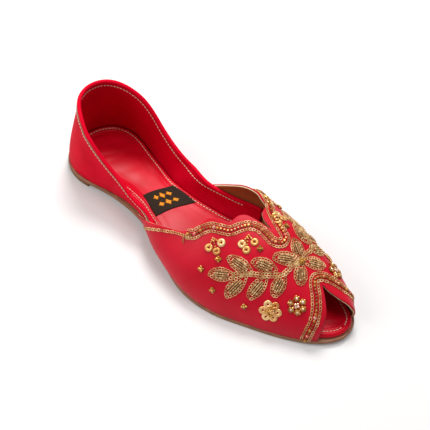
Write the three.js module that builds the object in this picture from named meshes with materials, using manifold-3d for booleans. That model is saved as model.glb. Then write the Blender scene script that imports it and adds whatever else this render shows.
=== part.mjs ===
import * as THREE from 'three';
import Module from 'manifold-3d';

// Open-toed mojari for the right foot. Millimetres, +X to the toe, +Y to the inner side, +Z up.
// The floor is z = 0 and the shoe stands on its heel lift and on the flat of the forefoot.

// Sole
const SOLE_LENGTH = 250;
const BALL_WIDTH = 82;
const OUTSOLE_THICKNESS = 3;
const HEEL_LIFT_HEIGHT = 3.6;
const HEEL_LIFT_LENGTH = 36;
const ARCH_RISE = 4.5;
const TOE_SPRING = 1.8;
const TOE_BLUNTING = 0.3;
const EDGE_ROUNDING = 0.9;

// Footbed
const INSOLE_THICKNESS = 3;
const INSOLE_RIM_WIDTH = 4;
const INSOLE_PLAY = 0.3;

// Upper
const INSTEP_HEIGHT = 50;
const BACK_HEIGHT = 64.4;
const HEEL_LEAN = 6;
const HEEL_SWELL = 2;
const VAMP_BULGE = 8;
const CROWN_SHIFT = 10;
const UPPER_INSET = 0.6;
const VAMP_WALL = 1.6;
const QUARTER_WALL = 1.6;
const BEAD_DIAMETER = 3;
const QUARTER_FRONT = 146;

// Where the vamp's wings cover the quarter, on the outer and on the inner side
const WING_START_OUTER = 82;
const WING_START_INNER = 90;
const WING_REACH = 22;

// Gaps between seated pieces
const SEAM_GAP = 0.3;
const SEAT_GAP = 0.15;

// Label on the footbed: distance from the heel, offset to the inner side, width and turn in
// degrees of its back and front edge
const LABEL_THICKNESS = 0.7;
const LABEL_EDGES = [
  { from: 78, aside: 0.5, width: 24, turn: 20 },
  { from: 99.5, aside: -2.5, width: 32, turn: 18 },
];

// Raised embroidery on the vamp
const LEAF_WIDTH = 10;
const LEAF_HEIGHT = 1.3;
const STEM_WIDTH = 3.2;
const BRAID_WIDTH = 7.2;
const BRAID_HEIGHT = 1.1;
const FLOWER_HEIGHT = 1.2;
const FLOWER_LOBES = 6;
const LOBE_DEPTH = 0.14;
const PAD_EDGE = 0.35;

// Fine shape
const AROUND_REACH = 0.3;
const BASE_SPACING = 1.4;
const LOW_PEAK = 9.48;
const LEVEL_ZONE = 0.12;
const WING_FIRST_COVER = 0.2;
const COVER_BLEND = 0.9;
const BEAD_ANGLES = [-50, -15, 20, 55, 90, 125, 160, 195, 230];

// Mesh fineness
const RIM_STEPS = 28;
const LABEL_STEPS = 6;
const HEEL_STEPS = 14;
const QUARTER_STEPS = 25;
const WALL_ROWS = 6;
const VAMP_RIBS = 64;
const VAMP_COLUMNS = 16;
const LEAF_STEPS = 5;
const BRAID_STEPS = 32;
const FLOWER_STEPS = 18;
const NUDGE = 1e-3;

// Sole outline: half width and middle line as shares of the ball width. The first and the last
// half width set how round the heel and the toe are.
const OUTLINE = [
  { at: 0.00, half: 0.857, mid: 0.000 },
  { at: 0.10, half: 0.365, mid: 0.000 },
  { at: 0.22, half: 0.296, mid: -0.006 },
  { at: 0.36, half: 0.270, mid: -0.048 },
  { at: 0.48, half: 0.380, mid: -0.078 },
  { at: 0.60, half: 0.501, mid: -0.059 },
  { at: 0.70, half: 0.499, mid: -0.028 },
  { at: 0.80, half: 0.426, mid: 0.026 },
  { at: 0.90, half: 0.333, mid: 0.089 },
  { at: 1.00, half: 0.600, mid: 0.140 },
];

// Height of the outsole's underside: shares of the heel lift, the arch rise and the toe spring.
const UNDERSIDE = [
  { at: 0.00, heel: 1.00, arch: 0.00, toe: 0.0 },
  { at: 0.12, heel: 1.00, arch: 0.00, toe: 0.0 },
  { at: 0.24, heel: 0.93, arch: 0.00, toe: 0.0 },
  { at: 0.40, heel: 0.00, arch: 1.00, toe: 0.0 },
  { at: 0.56, heel: 0.00, arch: 0.11, toe: 0.0 },
  { at: 0.66, heel: 0.00, arch: 0.00, toe: 0.0 },
  { at: 0.82, heel: 0.00, arch: 0.00, toe: 0.0 },
  { at: 0.92, heel: 0.00, arch: 0.00, toe: 0.4 },
  { at: 1.00, heel: 0.00, arch: 0.00, toe: 1.0 },
];

// Walls that the footbed stands clear of along its edge.
const FOOTBED_EDGE = [
  { at: 0.00, quarter: 1, vamp: 0 },
  { at: 0.25, quarter: 1, vamp: 0 },
  { at: 0.33, quarter: 1, vamp: 1 },
  { at: 0.59, quarter: 1, vamp: 1 },
  { at: 0.66, quarter: 0, vamp: 1 },
  { at: 0.94, quarter: 0, vamp: 1.3 },
  { at: 1.00, quarter: 0, vamp: 0.4 },
];

// Top line of the quarter: forward lean, spread against the sole's half width, shift to the
// inner side as a share of the ball width, and height.
const TOP_LINE = [
  { at: 0.000, lean: 0.92, spread: 0.83, aside: -0.020, height: 1.000 },
  { at: 0.036, lean: 1.00, spread: 0.81, aside: -0.020, height: 0.970 },
  { at: 0.124, lean: 0.67, spread: 0.94, aside: -0.020, height: 0.828 },
  { at: 0.240, lean: 0.00, spread: 1.19, aside: -0.010, height: 0.585 },
  { at: 0.360, lean: 0.00, spread: 1.22, aside: 0.000, height: 0.435 },
  { at: 0.480, lean: 0.00, spread: 1.03, aside: 0.000, height: 0.391 },
  { at: 0.600, lean: 0.00, spread: 0.84, aside: 0.000, height: 0.377 },
];

// Cross sections of the vamp: crown height and sideways shift of the crown, bulge of the outer
// and of the inner side low down, and how square each side is.
const VAMP_SECTIONS = [
  { at: 0.32, crown: 0.90, shift: 0.05, outer: 0.44, inner: 0.25, outerSquare: 2.80, innerSquare: 3.0 },
  { at: 0.44, crown: 0.96, shift: 0.53, outer: 0.97, inner: 0.68, outerSquare: 2.80, innerSquare: 3.0 },
  { at: 0.58, crown: 1.00, shift: 0.97, outer: 0.55, inner: 0.38, outerSquare: 2.25, innerSquare: 2.6 },
  { at: 0.70, crown: 0.94, shift: 1.00, outer: 0.12, inner: 0.12, outerSquare: 2.00, innerSquare: 2.2 },
  { at: 0.84, crown: 0.67, shift: 0.57, outer: 0.06, inner: 0.12, outerSquare: 1.90, innerSquare: 2.6 },
  { at: 1.00, crown: 0.30, shift: -0.05, outer: 0.00, inner: 0.00, outerSquare: 1.90, innerSquare: 2.2 },
];

// Edges of the vamp. Ribs run across it from the outer base (0) over the crown (32) to the inner
// base (64); around is 0 at the outer base, 1 on the crown and 2 at the inner base.
const THROAT = [
  { rib: 0, at: 0.328, around: 0.000 },
  { rib: 3, at: 0.368, around: 0.160 },
  { rib: 8, at: 0.416, around: 0.290 },
  { rib: 12, at: 0.470, around: 0.430 },
  { rib: 18, at: 0.533, around: 0.590 },
  { rib: 20, at: 0.548, around: 0.680 },
  { rib: 22, at: 0.557, around: 0.775 },
  { rib: 24, at: 0.578, around: 0.825 },
  { rib: 27, at: 0.608, around: 0.861 },
  { rib: 28, at: 0.609, around: 0.911 },
  { rib: 30, at: 0.624, around: 0.972 },
  { rib: 31, at: 0.660, around: 0.990 },
  { rib: 32, at: 0.700, around: 1.000 },
  { rib: 33, at: 0.664, around: 1.024 },
  { rib: 34, at: 0.644, around: 1.062 },
  { rib: 36, at: 0.633, around: 1.147 },
  { rib: 38, at: 0.610, around: 1.180 },
  { rib: 40, at: 0.586, around: 1.240 },
  { rib: 44, at: 0.538, around: 1.365 },
  { rib: 50, at: 0.484, around: 1.575 },
  { rib: 56, at: 0.440, around: 1.745 },
  { rib: 61, at: 0.392, around: 1.880 },
  { rib: 64, at: 0.360, around: 2.000 },
];
const TOE_OPENING = [
  { rib: 0, at: 0.958, around: 0.000 },
  { rib: 8, at: 0.958, around: 0.300 },
  { rib: 12, at: 0.957, around: 0.420 },
  { rib: 18, at: 0.952, around: 0.600 },
  { rib: 22, at: 0.942, around: 0.750 },
  { rib: 27, at: 0.917, around: 0.890 },
  { rib: 30, at: 0.894, around: 0.968 },
  { rib: 32, at: 0.884, around: 1.000 },
  { rib: 34, at: 0.907, around: 1.008 },
  { rib: 36, at: 0.925, around: 1.030 },
  { rib: 40, at: 0.945, around: 1.081 },
  { rib: 44, at: 0.963, around: 1.180 },
  { rib: 50, at: 0.977, around: 1.330 },
  { rib: 56, at: 0.980, around: 1.550 },
  { rib: 64, at: 0.974, around: 2.000 },
];

// Embroidery on the outer half of the vamp, mirrored over the crown for the inner half. Leaves
// run from a base on the stem to a tip.
const LEAVES = [
  { baseAt: 0.702, baseAround: 0.552, tipAt: 0.646, tipAround: 0.460 },
  { baseAt: 0.736, baseAround: 0.628, tipAt: 0.663, tipAround: 0.650 },
  { baseAt: 0.731, baseAround: 0.622, tipAt: 0.716, tipAround: 0.360 },
  { baseAt: 0.784, baseAround: 0.742, tipAt: 0.718, tipAround: 0.718 },
  { baseAt: 0.770, baseAround: 0.698, tipAt: 0.767, tipAround: 0.445 },
  { baseAt: 0.799, baseAround: 0.805, tipAt: 0.815, tipAround: 0.588 },
];
const STEM = [
  { at: 0.806, around: 1.000 },
  { at: 0.801, around: 0.900 },
  { at: 0.798, around: 0.787 },
  { at: 0.766, around: 0.685 },
  { at: 0.731, around: 0.620 },
  { at: 0.700, around: 0.550 },
];
const FLOWERS = [
  { name: 'sequin_flower', at: 0.828, around: 0.438, radius: 7.3 },
  { name: 'bead_flower', at: 0.873, around: 0.635, radius: 6.6 },
];

// The four petals at the crown, not mirrored.
const PETALS = [
  { baseAt: 0.805, baseAround: 0.985, tipAt: 0.751, tipAround: 0.833 },
  { baseAt: 0.804, baseAround: 1.000, tipAt: 0.753, tipAround: 1.065 },
  { baseAt: 0.809, baseAround: 1.005, tipAt: 0.853, tipAround: 1.135 },
  { baseAt: 0.809, baseAround: 0.985, tipAt: 0.848, tipAround: 0.825 },
];

// Centre lines of the two braids, from the outer side over the crown to the inner side.
const THROAT_BRAID = [
  { at: 0.538, around: 0.573 },
  { at: 0.553, around: 0.610 },
  { at: 0.564, around: 0.680 },
  { at: 0.577, around: 0.735 },
  { at: 0.604, around: 0.775 },
  { at: 0.626, around: 0.807 },
  { at: 0.636, around: 0.858 },
  { at: 0.650, around: 0.915 },
  { at: 0.672, around: 0.943 },
  { at: 0.700, around: 0.936 },
  { at: 0.727, around: 0.930 },
  { at: 0.742, around: 0.970 },
  { at: 0.740, around: 1.010 },
  { at: 0.720, around: 1.042 },
  { at: 0.697, around: 1.068 },
  { at: 0.676, around: 1.095 },
  { at: 0.654, around: 1.130 },
  { at: 0.637, around: 1.185 },
  { at: 0.616, around: 1.240 },
  { at: 0.590, around: 1.310 },
  { at: 0.565, around: 1.390 },
];
const TOE_BRAID = [
  { at: 0.932, around: 0.060 },
  { at: 0.932, around: 0.380 },
  { at: 0.928, around: 0.583 },
  { at: 0.911, around: 0.755 },
  { at: 0.889, around: 0.863 },
  { at: 0.868, around: 0.935 },
  { at: 0.861, around: 0.985 },
  { at: 0.868, around: 1.035 },
  { at: 0.890, around: 1.103 },
  { at: 0.921, around: 1.228 },
  { at: 0.938, around: 1.380 },
  { at: 0.944, around: 1.600 },
  { at: 0.942, around: 1.900 },
];

const OUTER = -1;
const INNER = 1;
const { clamp, lerp, smoothstep, degToRad } = THREE.MathUtils;

// Cubic through the rows of a table. The plain kind never swings past a row, the flowing kind
// keeps the bend more even.
function curve(rows, column, { key = 'at', flowing = false } = {}) {
  const xs = rows.map((row) => row[key]);
  const ys = rows.map((row) => row[column]);
  const last = xs.length - 1;
  const step = xs.slice(1).map((x, i) => x - xs[i]);
  const slope = step.map((width, i) => (ys[i + 1] - ys[i]) / width);
  const tangent = ys.map((_, i) => {
    if (i === 0) return slope[0];
    if (i === last) return slope[last - 1];
    if (flowing) return (slope[i - 1] * step[i] + slope[i] * step[i - 1]) / (step[i] + step[i - 1]);
    if (slope[i - 1] * slope[i] <= 0) return 0;
    const near = 2 * step[i] + step[i - 1];
    const far = step[i] + 2 * step[i - 1];
    return (near + far) / (near / slope[i - 1] + far / slope[i]);
  });
  return (x) => {
    const value = clamp(x, xs[0], xs[last]);
    let i = 0;
    while (i < last - 1 && value > xs[i + 1]) i++;
    const t = (value - xs[i]) / step[i];
    const rest = 1 - t;
    return ys[i] * rest * rest * (1 + 2 * t) + ys[i + 1] * t * t * (3 - 2 * t)
      + step[i] * t * rest * (tangent[i] * rest - tangent[i + 1] * t);
  };
}

const columns = (rows, names, options) =>
  Object.fromEntries(names.map((name) => [name, curve(rows, name, options)]));

// The half widths are divided by a plain oval first, so that the ends come out round.
const oval = (at) => 2 * Math.sqrt(Math.max(at * (1 - at), 0));
const roundness = OUTLINE.map(({ at, half }) => ({ at, half: half / (oval(at) || 1) }));
const outline = {
  half: curve(roundness, 'half', { flowing: true }),
  mid: curve(OUTLINE, 'mid', { flowing: true }),
};
const lift = columns(UNDERSIDE, ['heel', 'arch', 'toe']);
const footbedEdge = columns(FOOTBED_EDGE, ['quarter', 'vamp']);
const topLine = columns(TOP_LINE, ['lean', 'spread', 'aside', 'height']);
const section = columns(
  VAMP_SECTIONS,
  ['crown', 'shift', 'outer', 'inner', 'outerSquare', 'innerSquare'],
);
const throat = columns(THROAT, ['at', 'around'], { key: 'rib' });
const toeOpening = columns(TOE_OPENING, ['at', 'around'], { key: 'rib' });

const share = (x) => clamp(x / SOLE_LENGTH, 0, 1);
const halfWidth = (x) => BALL_WIDTH * outline.half(share(x)) * oval(share(x));
const middle = (x) => BALL_WIDTH * outline.mid(share(x));
const underside = (x) => HEEL_LIFT_HEIGHT * lift.heel(share(x)) + ARCH_RISE * lift.arch(share(x))
  + TOE_SPRING * lift.toe(share(x));
const upperFoot = (x) => underside(x) + OUTSOLE_THICKNESS + SEAM_GAP;

// Distance from the heel of a station on the outline. A walk runs from -1 at the front of the
// outer side round the heel to 1 at the front of the inner side, with short steps at the ends.
function station(walk, front) {
  const turn = Math.acos(1 - (2 * front) / SOLE_LENGTH);
  return (SOLE_LENGTH * (1 - Math.cos(turn * walk))) / 2;
}

// Point of the outline and its outward direction.
function rimPoint(walk, front) {
  const edge = (value) => {
    const x = station(value, front);
    return new THREE.Vector2(x, middle(x) + Math.sign(value) * halfWidth(x));
  };
  const point = edge(walk);
  const along = edge(Math.min(walk + NUDGE, 1)).sub(edge(Math.max(walk - NUDGE, -1))).normalize();
  return { point, outward: new THREE.Vector2(-along.y, along.x) };
}

// Closed ring along the outline, set in from its edge.
function rimRing(steps, front, inset, height) {
  const ring = [];
  for (let i = -steps; i <= steps; i++) {
    const { point, outward } = rimPoint(i / steps, front);
    const { x, y } = point.clone().addScaledVector(outward, -inset(point.x));
    ring.push(new THREE.Vector3(x, y, height(x)));
  }
  return ring;
}

// Mesh from corners and four-sided faces, turned so that its faces look outward.
function body(name, points, quads, look) {
  const index = [];
  let volume = 0;
  const triangle = (a, b, c) => {
    if (a === b || b === c || c === a) return;
    index.push(a, b, c);
    volume += points[a].dot(points[b].clone().cross(points[c]));
  };
  for (const [a, b, c, d] of quads) {
    triangle(a, b, c);
    triangle(a, c, d);
  }
  if (volume < 0) index.reverse();
  const geometry = new THREE.BufferGeometry().setFromPoints(points);
  geometry.setIndex(index);
  geometry.computeVertexNormals();
  const mesh = new THREE.Mesh(geometry, new THREE.MeshStandardMaterial(look));
  mesh.name = name;
  return mesh;
}

// Solid through a row of closed rings. Its two ends are closed across the ring, corner to
// opposite corner.
function ringSolid(name, rings, look) {
  const size = rings[0].length;
  const quads = [];
  for (let r = 0; r < rings.length - 1; r++) {
    for (let i = 0; i < size; i++) {
      const next = (i + 1) % size;
      quads.push([r * size + i, r * size + next, (r + 1) * size + next, (r + 1) * size + i]);
    }
  }
  const end = (rings.length - 1) * size;
  for (let i = 0; i < Math.floor(size / 2); i++) {
    const far = size - 1 - i;
    quads.push([far, far - 1, i + 1, i]);
    quads.push([end + i, end + i + 1, end + far - 1, end + far]);
  }
  return body(name, rings.flat(), quads, look);
}

// Solid sheet between an outer and an inner grid of the same size.
function sheetSolid(name, outer, inner, look) {
  const rows = outer.length - 1;
  const across = outer[0].length - 1;
  const count = (rows + 1) * (across + 1);
  const o = (i, j) => i * (across + 1) + j;
  const n = (i, j) => count + o(i, j);
  const quads = [];
  for (let i = 0; i < rows; i++) {
    for (let j = 0; j < across; j++) {
      quads.push([o(i, j), o(i + 1, j), o(i + 1, j + 1), o(i, j + 1)]);
      quads.push([n(i, j + 1), n(i + 1, j + 1), n(i + 1, j), n(i, j)]);
    }
    quads.push([o(i + 1, 0), o(i, 0), n(i, 0), n(i + 1, 0)]);
    quads.push([o(i, across), o(i + 1, across), n(i + 1, across), n(i, across)]);
  }
  for (let j = 0; j < across; j++) {
    quads.push([o(0, j), o(0, j + 1), n(0, j + 1), n(0, j)]);
    quads.push([o(rows, j + 1), o(rows, j), n(rows, j), n(rows, j + 1)]);
  }
  return body(name, [...outer.flat(), ...inner.flat()], quads, look);
}

// Outer face of the vamp. Around goes from the outer base over the crown to the inner base.
function vampFace(x, around) {
  const side = around > 1 ? INNER : OUTER;
  const square = side === INNER ? section.innerSquare(share(x)) : section.outerSquare(share(x));
  const bulge = VAMP_BULGE * (side === INNER ? section.inner(share(x)) : section.outer(share(x)));
  const angle = (Math.PI / 2) * Math.min(around, 2 - around) ** BASE_SPACING;
  const spread = Math.max(Math.cos(angle), 0) ** (2 / square);
  const rise = Math.sin(angle) ** (2 / square);
  const width = (halfWidth(x) - UPPER_INSET) * spread + bulge * LOW_PEAK * rise * (1 - rise) ** 3;
  const y = middle(x) + side * width + CROWN_SHIFT * section.shift(share(x)) * rise ** 1.5;
  return new THREE.Vector3(x, y, upperFoot(x) + INSTEP_HEIGHT * section.crown(share(x)) * rise);
}

// Point under the outer face of the vamp. Near the sole the wall is measured level.
function vampUnder(x, around, depth) {
  const point = vampFace(x, around);
  const low = Math.max(around - 4 * NUDGE, 0);
  const high = Math.min(around + 4 * NUDGE, 2);
  const over = vampFace(x, high).sub(vampFace(x, low));
  const along = vampFace(x + NUDGE, around).sub(vampFace(x - NUDGE, around));
  const out = along.cross(over).normalize();
  const height = (point.z - upperFoot(x)) / (INSTEP_HEIGHT * section.crown(share(x)));
  out.z *= smoothstep(height, 0, LEVEL_ZONE);
  return point.addScaledVector(out.normalize(), -depth);
}

// Where on the vamp's side a given height is met.
function aroundAt(x, side, z) {
  const square = side === INNER ? section.innerSquare(share(x)) : section.outerSquare(share(x));
  const rise = clamp((z - upperFoot(x)) / (INSTEP_HEIGHT * section.crown(share(x))), 0, 1);
  const angle = Math.asin(rise ** (square / 2));
  const around = (angle / (Math.PI / 2)) ** (1 / BASE_SPACING);
  return side === INNER ? 2 - around : around;
}

function vampRib(rib, depth) {
  const points = [];
  for (let j = 0; j <= VAMP_COLUMNS; j++) {
    const forward = j / VAMP_COLUMNS;
    const at = lerp(throat.at(rib), toeOpening.at(rib), forward);
    const around = lerp(throat.around(rib), toeOpening.around(rib), forward);
    points.push(vampUnder(at * SOLE_LENGTH, around, depth));
  }
  return points;
}

// Outer face of the quarter: its own shape round the heel, and inside the wings the shape of the
// vamp, so that the two lie in each other.
function quarterFace(walk, up) {
  const { point, outward } = rimPoint(walk, QUARTER_FRONT);
  const x = point.x;
  const side = walk > 0 ? INNER : OUTER;
  const foot = point.clone().addScaledVector(outward, -UPPER_INSET);
  const top = new THREE.Vector3(
    x + HEEL_LEAN * topLine.lean(share(x)),
    middle(x) + BALL_WIDTH * topLine.aside(share(x))
      + Math.sign(walk) * halfWidth(x) * topLine.spread(share(x)),
    BACK_HEIGHT * topLine.height(share(x)),
  );
  const own = new THREE.Vector3(foot.x, foot.y, upperFoot(x)).lerp(top, up);
  const swell = HEEL_SWELL * 4 * up * (1 - up) * (1 - up);
  own.add(new THREE.Vector3(outward.x, outward.y, 0).multiplyScalar(swell));
  const wing = side === INNER ? WING_START_INNER : WING_START_OUTER;
  const cover = Math.min((x - wing) / WING_REACH + WING_FIRST_COVER, 1);
  const tucked = 1 - smoothstep(up, cover, cover + COVER_BLEND);
  if (tucked === 0) return own;
  const z = lerp(upperFoot(x), top.z, up);
  const reach = Math.max(x, VAMP_SECTIONS[0].at * SOLE_LENGTH - WING_REACH);
  const nested = vampUnder(reach, aroundAt(reach, side, z), VAMP_WALL + SEAM_GAP);
  nested.x += x - reach;
  return own.lerp(nested, tucked);
}

// Closed ring across the quarter's wall: up the outside, round the rolled top, down the inside.
function quarterRing(walk) {
  const radius = BEAD_DIAMETER / 2;
  const frame = (up) => {
    const point = quarterFace(walk, up);
    const rising = quarterFace(walk, Math.min(up + NUDGE, 1))
      .sub(quarterFace(walk, Math.max(up - NUDGE, 0))).normalize();
    const along = quarterFace(Math.min(walk + NUDGE, 1), up)
      .sub(quarterFace(Math.max(walk - NUDGE, -1), up)).normalize();
    return { point, rising, out: along.cross(rising).negate().normalize() };
  };
  const x = station(walk, QUARTER_FRONT);
  const height = quarterFace(walk, 1).z - upperFoot(x);
  const wallTop = 1 - (2 * radius) / height;
  const outside = [];
  const inside = [];
  for (let i = 0; i <= WALL_ROWS; i++) {
    const { point, out } = frame((wallTop * i) / WALL_ROWS);
    outside.push(point);
    inside.unshift(point.clone().addScaledVector(out, -QUARTER_WALL));
  }
  inside[WALL_ROWS].z = outside[0].z;
  const { point, rising, out } = frame(1);
  const wing = walk > 0 ? WING_START_INNER : WING_START_OUTER;
  const tuck = smoothstep(x, wing, wing + WING_REACH);
  const centre = point.addScaledVector(out, -lerp(QUARTER_WALL / 2, radius, tuck))
    .addScaledVector(rising, -radius);
  const bead = BEAD_ANGLES.map((angle) => centre.clone()
    .addScaledVector(out, radius * Math.cos(degToRad(angle)))
    .addScaledVector(rising, radius * Math.sin(degToRad(angle))));
  return [...outside, ...bead, ...inside];
}

const leather = { color: '#c61f33', roughness: 0.5, metalness: 0 };
const fullSole = SOLE_LENGTH - TOE_BLUNTING;

const outsole = ringSolid(
  'outsole',
  [
    { inset: EDGE_ROUNDING, height: 0 },
    { inset: 0.3 * EDGE_ROUNDING, height: 0.3 * EDGE_ROUNDING },
    { inset: 0, height: EDGE_ROUNDING },
    { inset: 0, height: OUTSOLE_THICKNESS - 0.5 * EDGE_ROUNDING },
    { inset: 0.5 * EDGE_ROUNDING, height: OUTSOLE_THICKNESS },
  ].map(({ inset, height }) => rimRing(RIM_STEPS, fullSole, () => inset, (x) => underside(x) + height)),
  { color: '#96704f', roughness: 0.65, metalness: 0 },
);

const heelLift = ringSolid(
  'heel_lift',
  [
    { inset: EDGE_ROUNDING, height: 0 },
    { inset: EDGE_ROUNDING, height: HEEL_LIFT_HEIGHT - SEAT_GAP },
  ].map(({ inset, height }) => rimRing(HEEL_STEPS, HEEL_LIFT_LENGTH, () => inset, () => height)),
  { color: '#7a5638', roughness: 0.7, metalness: 0 },
);

const footbedInset = (x) => UPPER_INSET + INSOLE_PLAY
  + (QUARTER_WALL + SEAM_GAP) * footbedEdge.quarter(share(x))
  + (VAMP_WALL + SEAM_GAP) * footbedEdge.vamp(share(x));
const insole = ringSolid(
  'insole',
  [
    { inset: 0.25, height: 0.0 },
    { inset: 0.05, height: 0.2 },
    { inset: 0.0, height: 0.6 },
    { inset: 0.1, height: 0.85 },
    { inset: 0.3, height: 1.0 },
    { inset: 0.6, height: 0.98 },
    { inset: 1.0, height: 0.95 },
  ].map(({ inset, height }) => rimRing(
    RIM_STEPS,
    fullSole,
    (x) => footbedInset(x) + inset * INSOLE_RIM_WIDTH,
    (x) => upperFoot(x) + height * INSOLE_THICKNESS,
  )),
  { color: '#c81f34', roughness: 0.4, metalness: 0 },
);

const quarter = ringSolid(
  'quarter',
  Array.from({ length: 2 * QUARTER_STEPS + 1 }, (_, i) => quarterRing(i / QUARTER_STEPS - 1)),
  leather,
);

const ribs = Array.from({ length: VAMP_RIBS + 1 }, (_, rib) => rib);
const vamp = sheetSolid(
  'vamp',
  ribs.map((rib) => vampRib(rib, 0)),
  ribs.map((rib) => vampRib(rib, VAMP_WALL)),
  leather,
);

// Label, laid on the footbed and following its rise.
function labelRing(inset, height) {
  const ring = [];
  for (const [index, side] of [[0, INNER], [1, OUTER]]) {
    const { from, aside, width, turn } = LABEL_EDGES[index];
    const along = index === 0 ? inset : -inset;
    for (let i = 0; i <= LABEL_STEPS; i++) {
      const across = side * (width / 2 - inset) * (1 - (2 * i) / LABEL_STEPS);
      const x = from + along + across * Math.sin(degToRad(turn));
      const y = aside + across * Math.cos(degToRad(turn));
      ring.push(new THREE.Vector3(x, y, footbedTop(x) + height));
    }
  }
  return ring;
}

const footbedTop = (x) => upperFoot(x) + INSOLE_THICKNESS + SEAM_GAP;
const label = ringSolid(
  'sock_label',
  [labelRing(0, 0), labelRing(0, 0.6 * LABEL_THICKNESS), labelRing(0.4, LABEL_THICKNESS)],
  { color: '#33271f', roughness: 0.85, metalness: 0 },
);

// Point over the vamp at a place given by its share of the length and its way around, moved by
// millimetres along and across the given heading.
function onVamp(place, heading, along, across, height) {
  const x = place.at * SOLE_LENGTH;
  const around = place.around;
  const base = vampFace(x, around);
  const perX = vampFace(x + NUDGE, around).sub(base).divideScalar(NUDGE);
  const perAround = vampFace(x, around + NUDGE).sub(base).divideScalar(NUDGE);
  const normal = perX.clone().cross(perAround).normalize();
  const forward = perX.clone().multiplyScalar(heading.at)
    .addScaledVector(perAround, heading.around).normalize();
  const sideways = normal.clone().cross(forward);
  const move = forward.multiplyScalar(along).addScaledVector(sideways, across);
  const xx = perX.dot(perX);
  const xa = perX.dot(perAround);
  const aa = perAround.dot(perAround);
  const det = xx * aa - xa * xa;
  const dx = (aa * move.dot(perX) - xa * move.dot(perAround)) / det;
  const da = (xx * move.dot(perAround) - xa * move.dot(perX)) / det;
  return vampUnder(x + dx, clamp(around + da, 0, 2), -height);
}

// Raised band along a line on the vamp. Its width and height follow the way along the line.
function band(path, steps, width, height) {
  const line = new THREE.CatmullRomCurve3(
    path.map(({ at, around }) => new THREE.Vector3(at, around * AROUND_REACH, 0)),
    false,
    'centripetal',
  );
  const outer = [];
  const inner = [];
  for (let i = 0; i <= steps; i++) {
    const way = i / steps;
    const spot = line.getPointAt(way);
    const course = line.getTangentAt(way);
    const place = { at: spot.x, around: spot.y / AROUND_REACH };
    const heading = { at: course.x * SOLE_LENGTH, around: course.y / AROUND_REACH };
    const row = (heights) => heights.map((value, j) =>
      onVamp(place, heading, 0, (j - 1) * width(way) / 2, value));
    outer.push(row([PAD_EDGE, height(way), PAD_EDGE].map((value) => SEAM_GAP + value)));
    inner.push(row([SEAM_GAP, SEAM_GAP, SEAM_GAP]));
  }
  return { outer, inner };
}

const gold = { color: '#b9904f', roughness: 0.45, metalness: 0.35 };
const braid = (name, path) => {
  const { outer, inner } = band(path, BRAID_STEPS, () => BRAID_WIDTH, () => BRAID_HEIGHT);
  return sheetSolid(name, outer, inner, gold);
};

// Leaves, petals and stems joined into one piece.
const mirrored = (rows) => rows.map((row) => Object.fromEntries(
  Object.entries(row).map(([key, value]) => [key, /around/i.test(key) ? 2 - value : value]),
));
const wasm = await Module();
wasm.setup();
function toManifold(mesh) {
  return new wasm.Manifold(new wasm.Mesh({
    numProp: 3,
    vertProperties: new Float32Array(mesh.geometry.attributes.position.array),
    triVerts: new Uint32Array(mesh.geometry.index.array),
  }));
}

const leafWidth = (way) => LEAF_WIDTH * Math.max(Math.sin(Math.PI * way) ** 0.7, 0.14);
const leafHeight = (way) => PAD_EDGE + (LEAF_HEIGHT - PAD_EDGE) * Math.sin(Math.PI * way);
const sprayParts = [LEAVES, mirrored(LEAVES), PETALS].flat().map((leaf) => band(
  [
    { at: leaf.baseAt, around: leaf.baseAround },
    { at: leaf.tipAt, around: leaf.tipAround },
  ],
  LEAF_STEPS,
  leafWidth,
  leafHeight,
));
for (const path of [STEM, mirrored(STEM)]) {
  sprayParts.push(band(path, 2 * LEAF_STEPS, () => STEM_WIDTH, () => LEAF_HEIGHT / 2));
}
const joined = wasm.Manifold.union(
  sprayParts.map(({ outer, inner }) => toManifold(sheetSolid('part', outer, inner, gold))),
).getMesh();
const spray = new THREE.Mesh(
  new THREE.BufferGeometry(),
  new THREE.MeshStandardMaterial(gold),
);
spray.name = 'leaf_spray';
spray.geometry.setAttribute('position', new THREE.BufferAttribute(joined.vertProperties, joined.numProp));
spray.geometry.setIndex(new THREE.BufferAttribute(joined.triVerts, 1));
spray.geometry.computeVertexNormals();

function flower({ name, at, around, radius: reach }, side) {
  const place = { at, around: side === INNER ? 2 - around : around };
  const ring = (size, height) => Array.from({ length: FLOWER_STEPS }, (_, i) => {
    const angle = (2 * Math.PI * i) / FLOWER_STEPS;
    const radius = size * reach * (1 + LOBE_DEPTH * Math.cos(FLOWER_LOBES * angle));
    return onVamp(place, { at: 1, around: 0 }, radius * Math.cos(angle), radius * Math.sin(angle), height);
  });
  return ringSolid(
    `${name}_${side === INNER ? 'inner' : 'outer'}`,
    [
      ring(0.06, SEAM_GAP),
      ring(0.6, SEAM_GAP),
      ring(1, SEAM_GAP),
      ring(0.85, SEAM_GAP + FLOWER_HEIGHT),
      ring(0.4, SEAM_GAP + FLOWER_HEIGHT),
    ],
    gold,
  );
}

const shoe = new THREE.Group();
shoe.name = 'mojari_right';
shoe.position.x = -HEEL_LIFT_LENGTH / 2;
shoe.add(outsole, heelLift, insole, label, quarter, vamp);
shoe.add(braid('throat_braid', THROAT_BRAID), braid('toe_braid', TOE_BRAID), spray);
for (const row of FLOWERS) shoe.add(flower(row, OUTER), flower(row, INNER));

export default shoe;
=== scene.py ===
import math

import bmesh
import bpy
import numpy as np
from mathutils import Matrix, Vector


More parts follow.
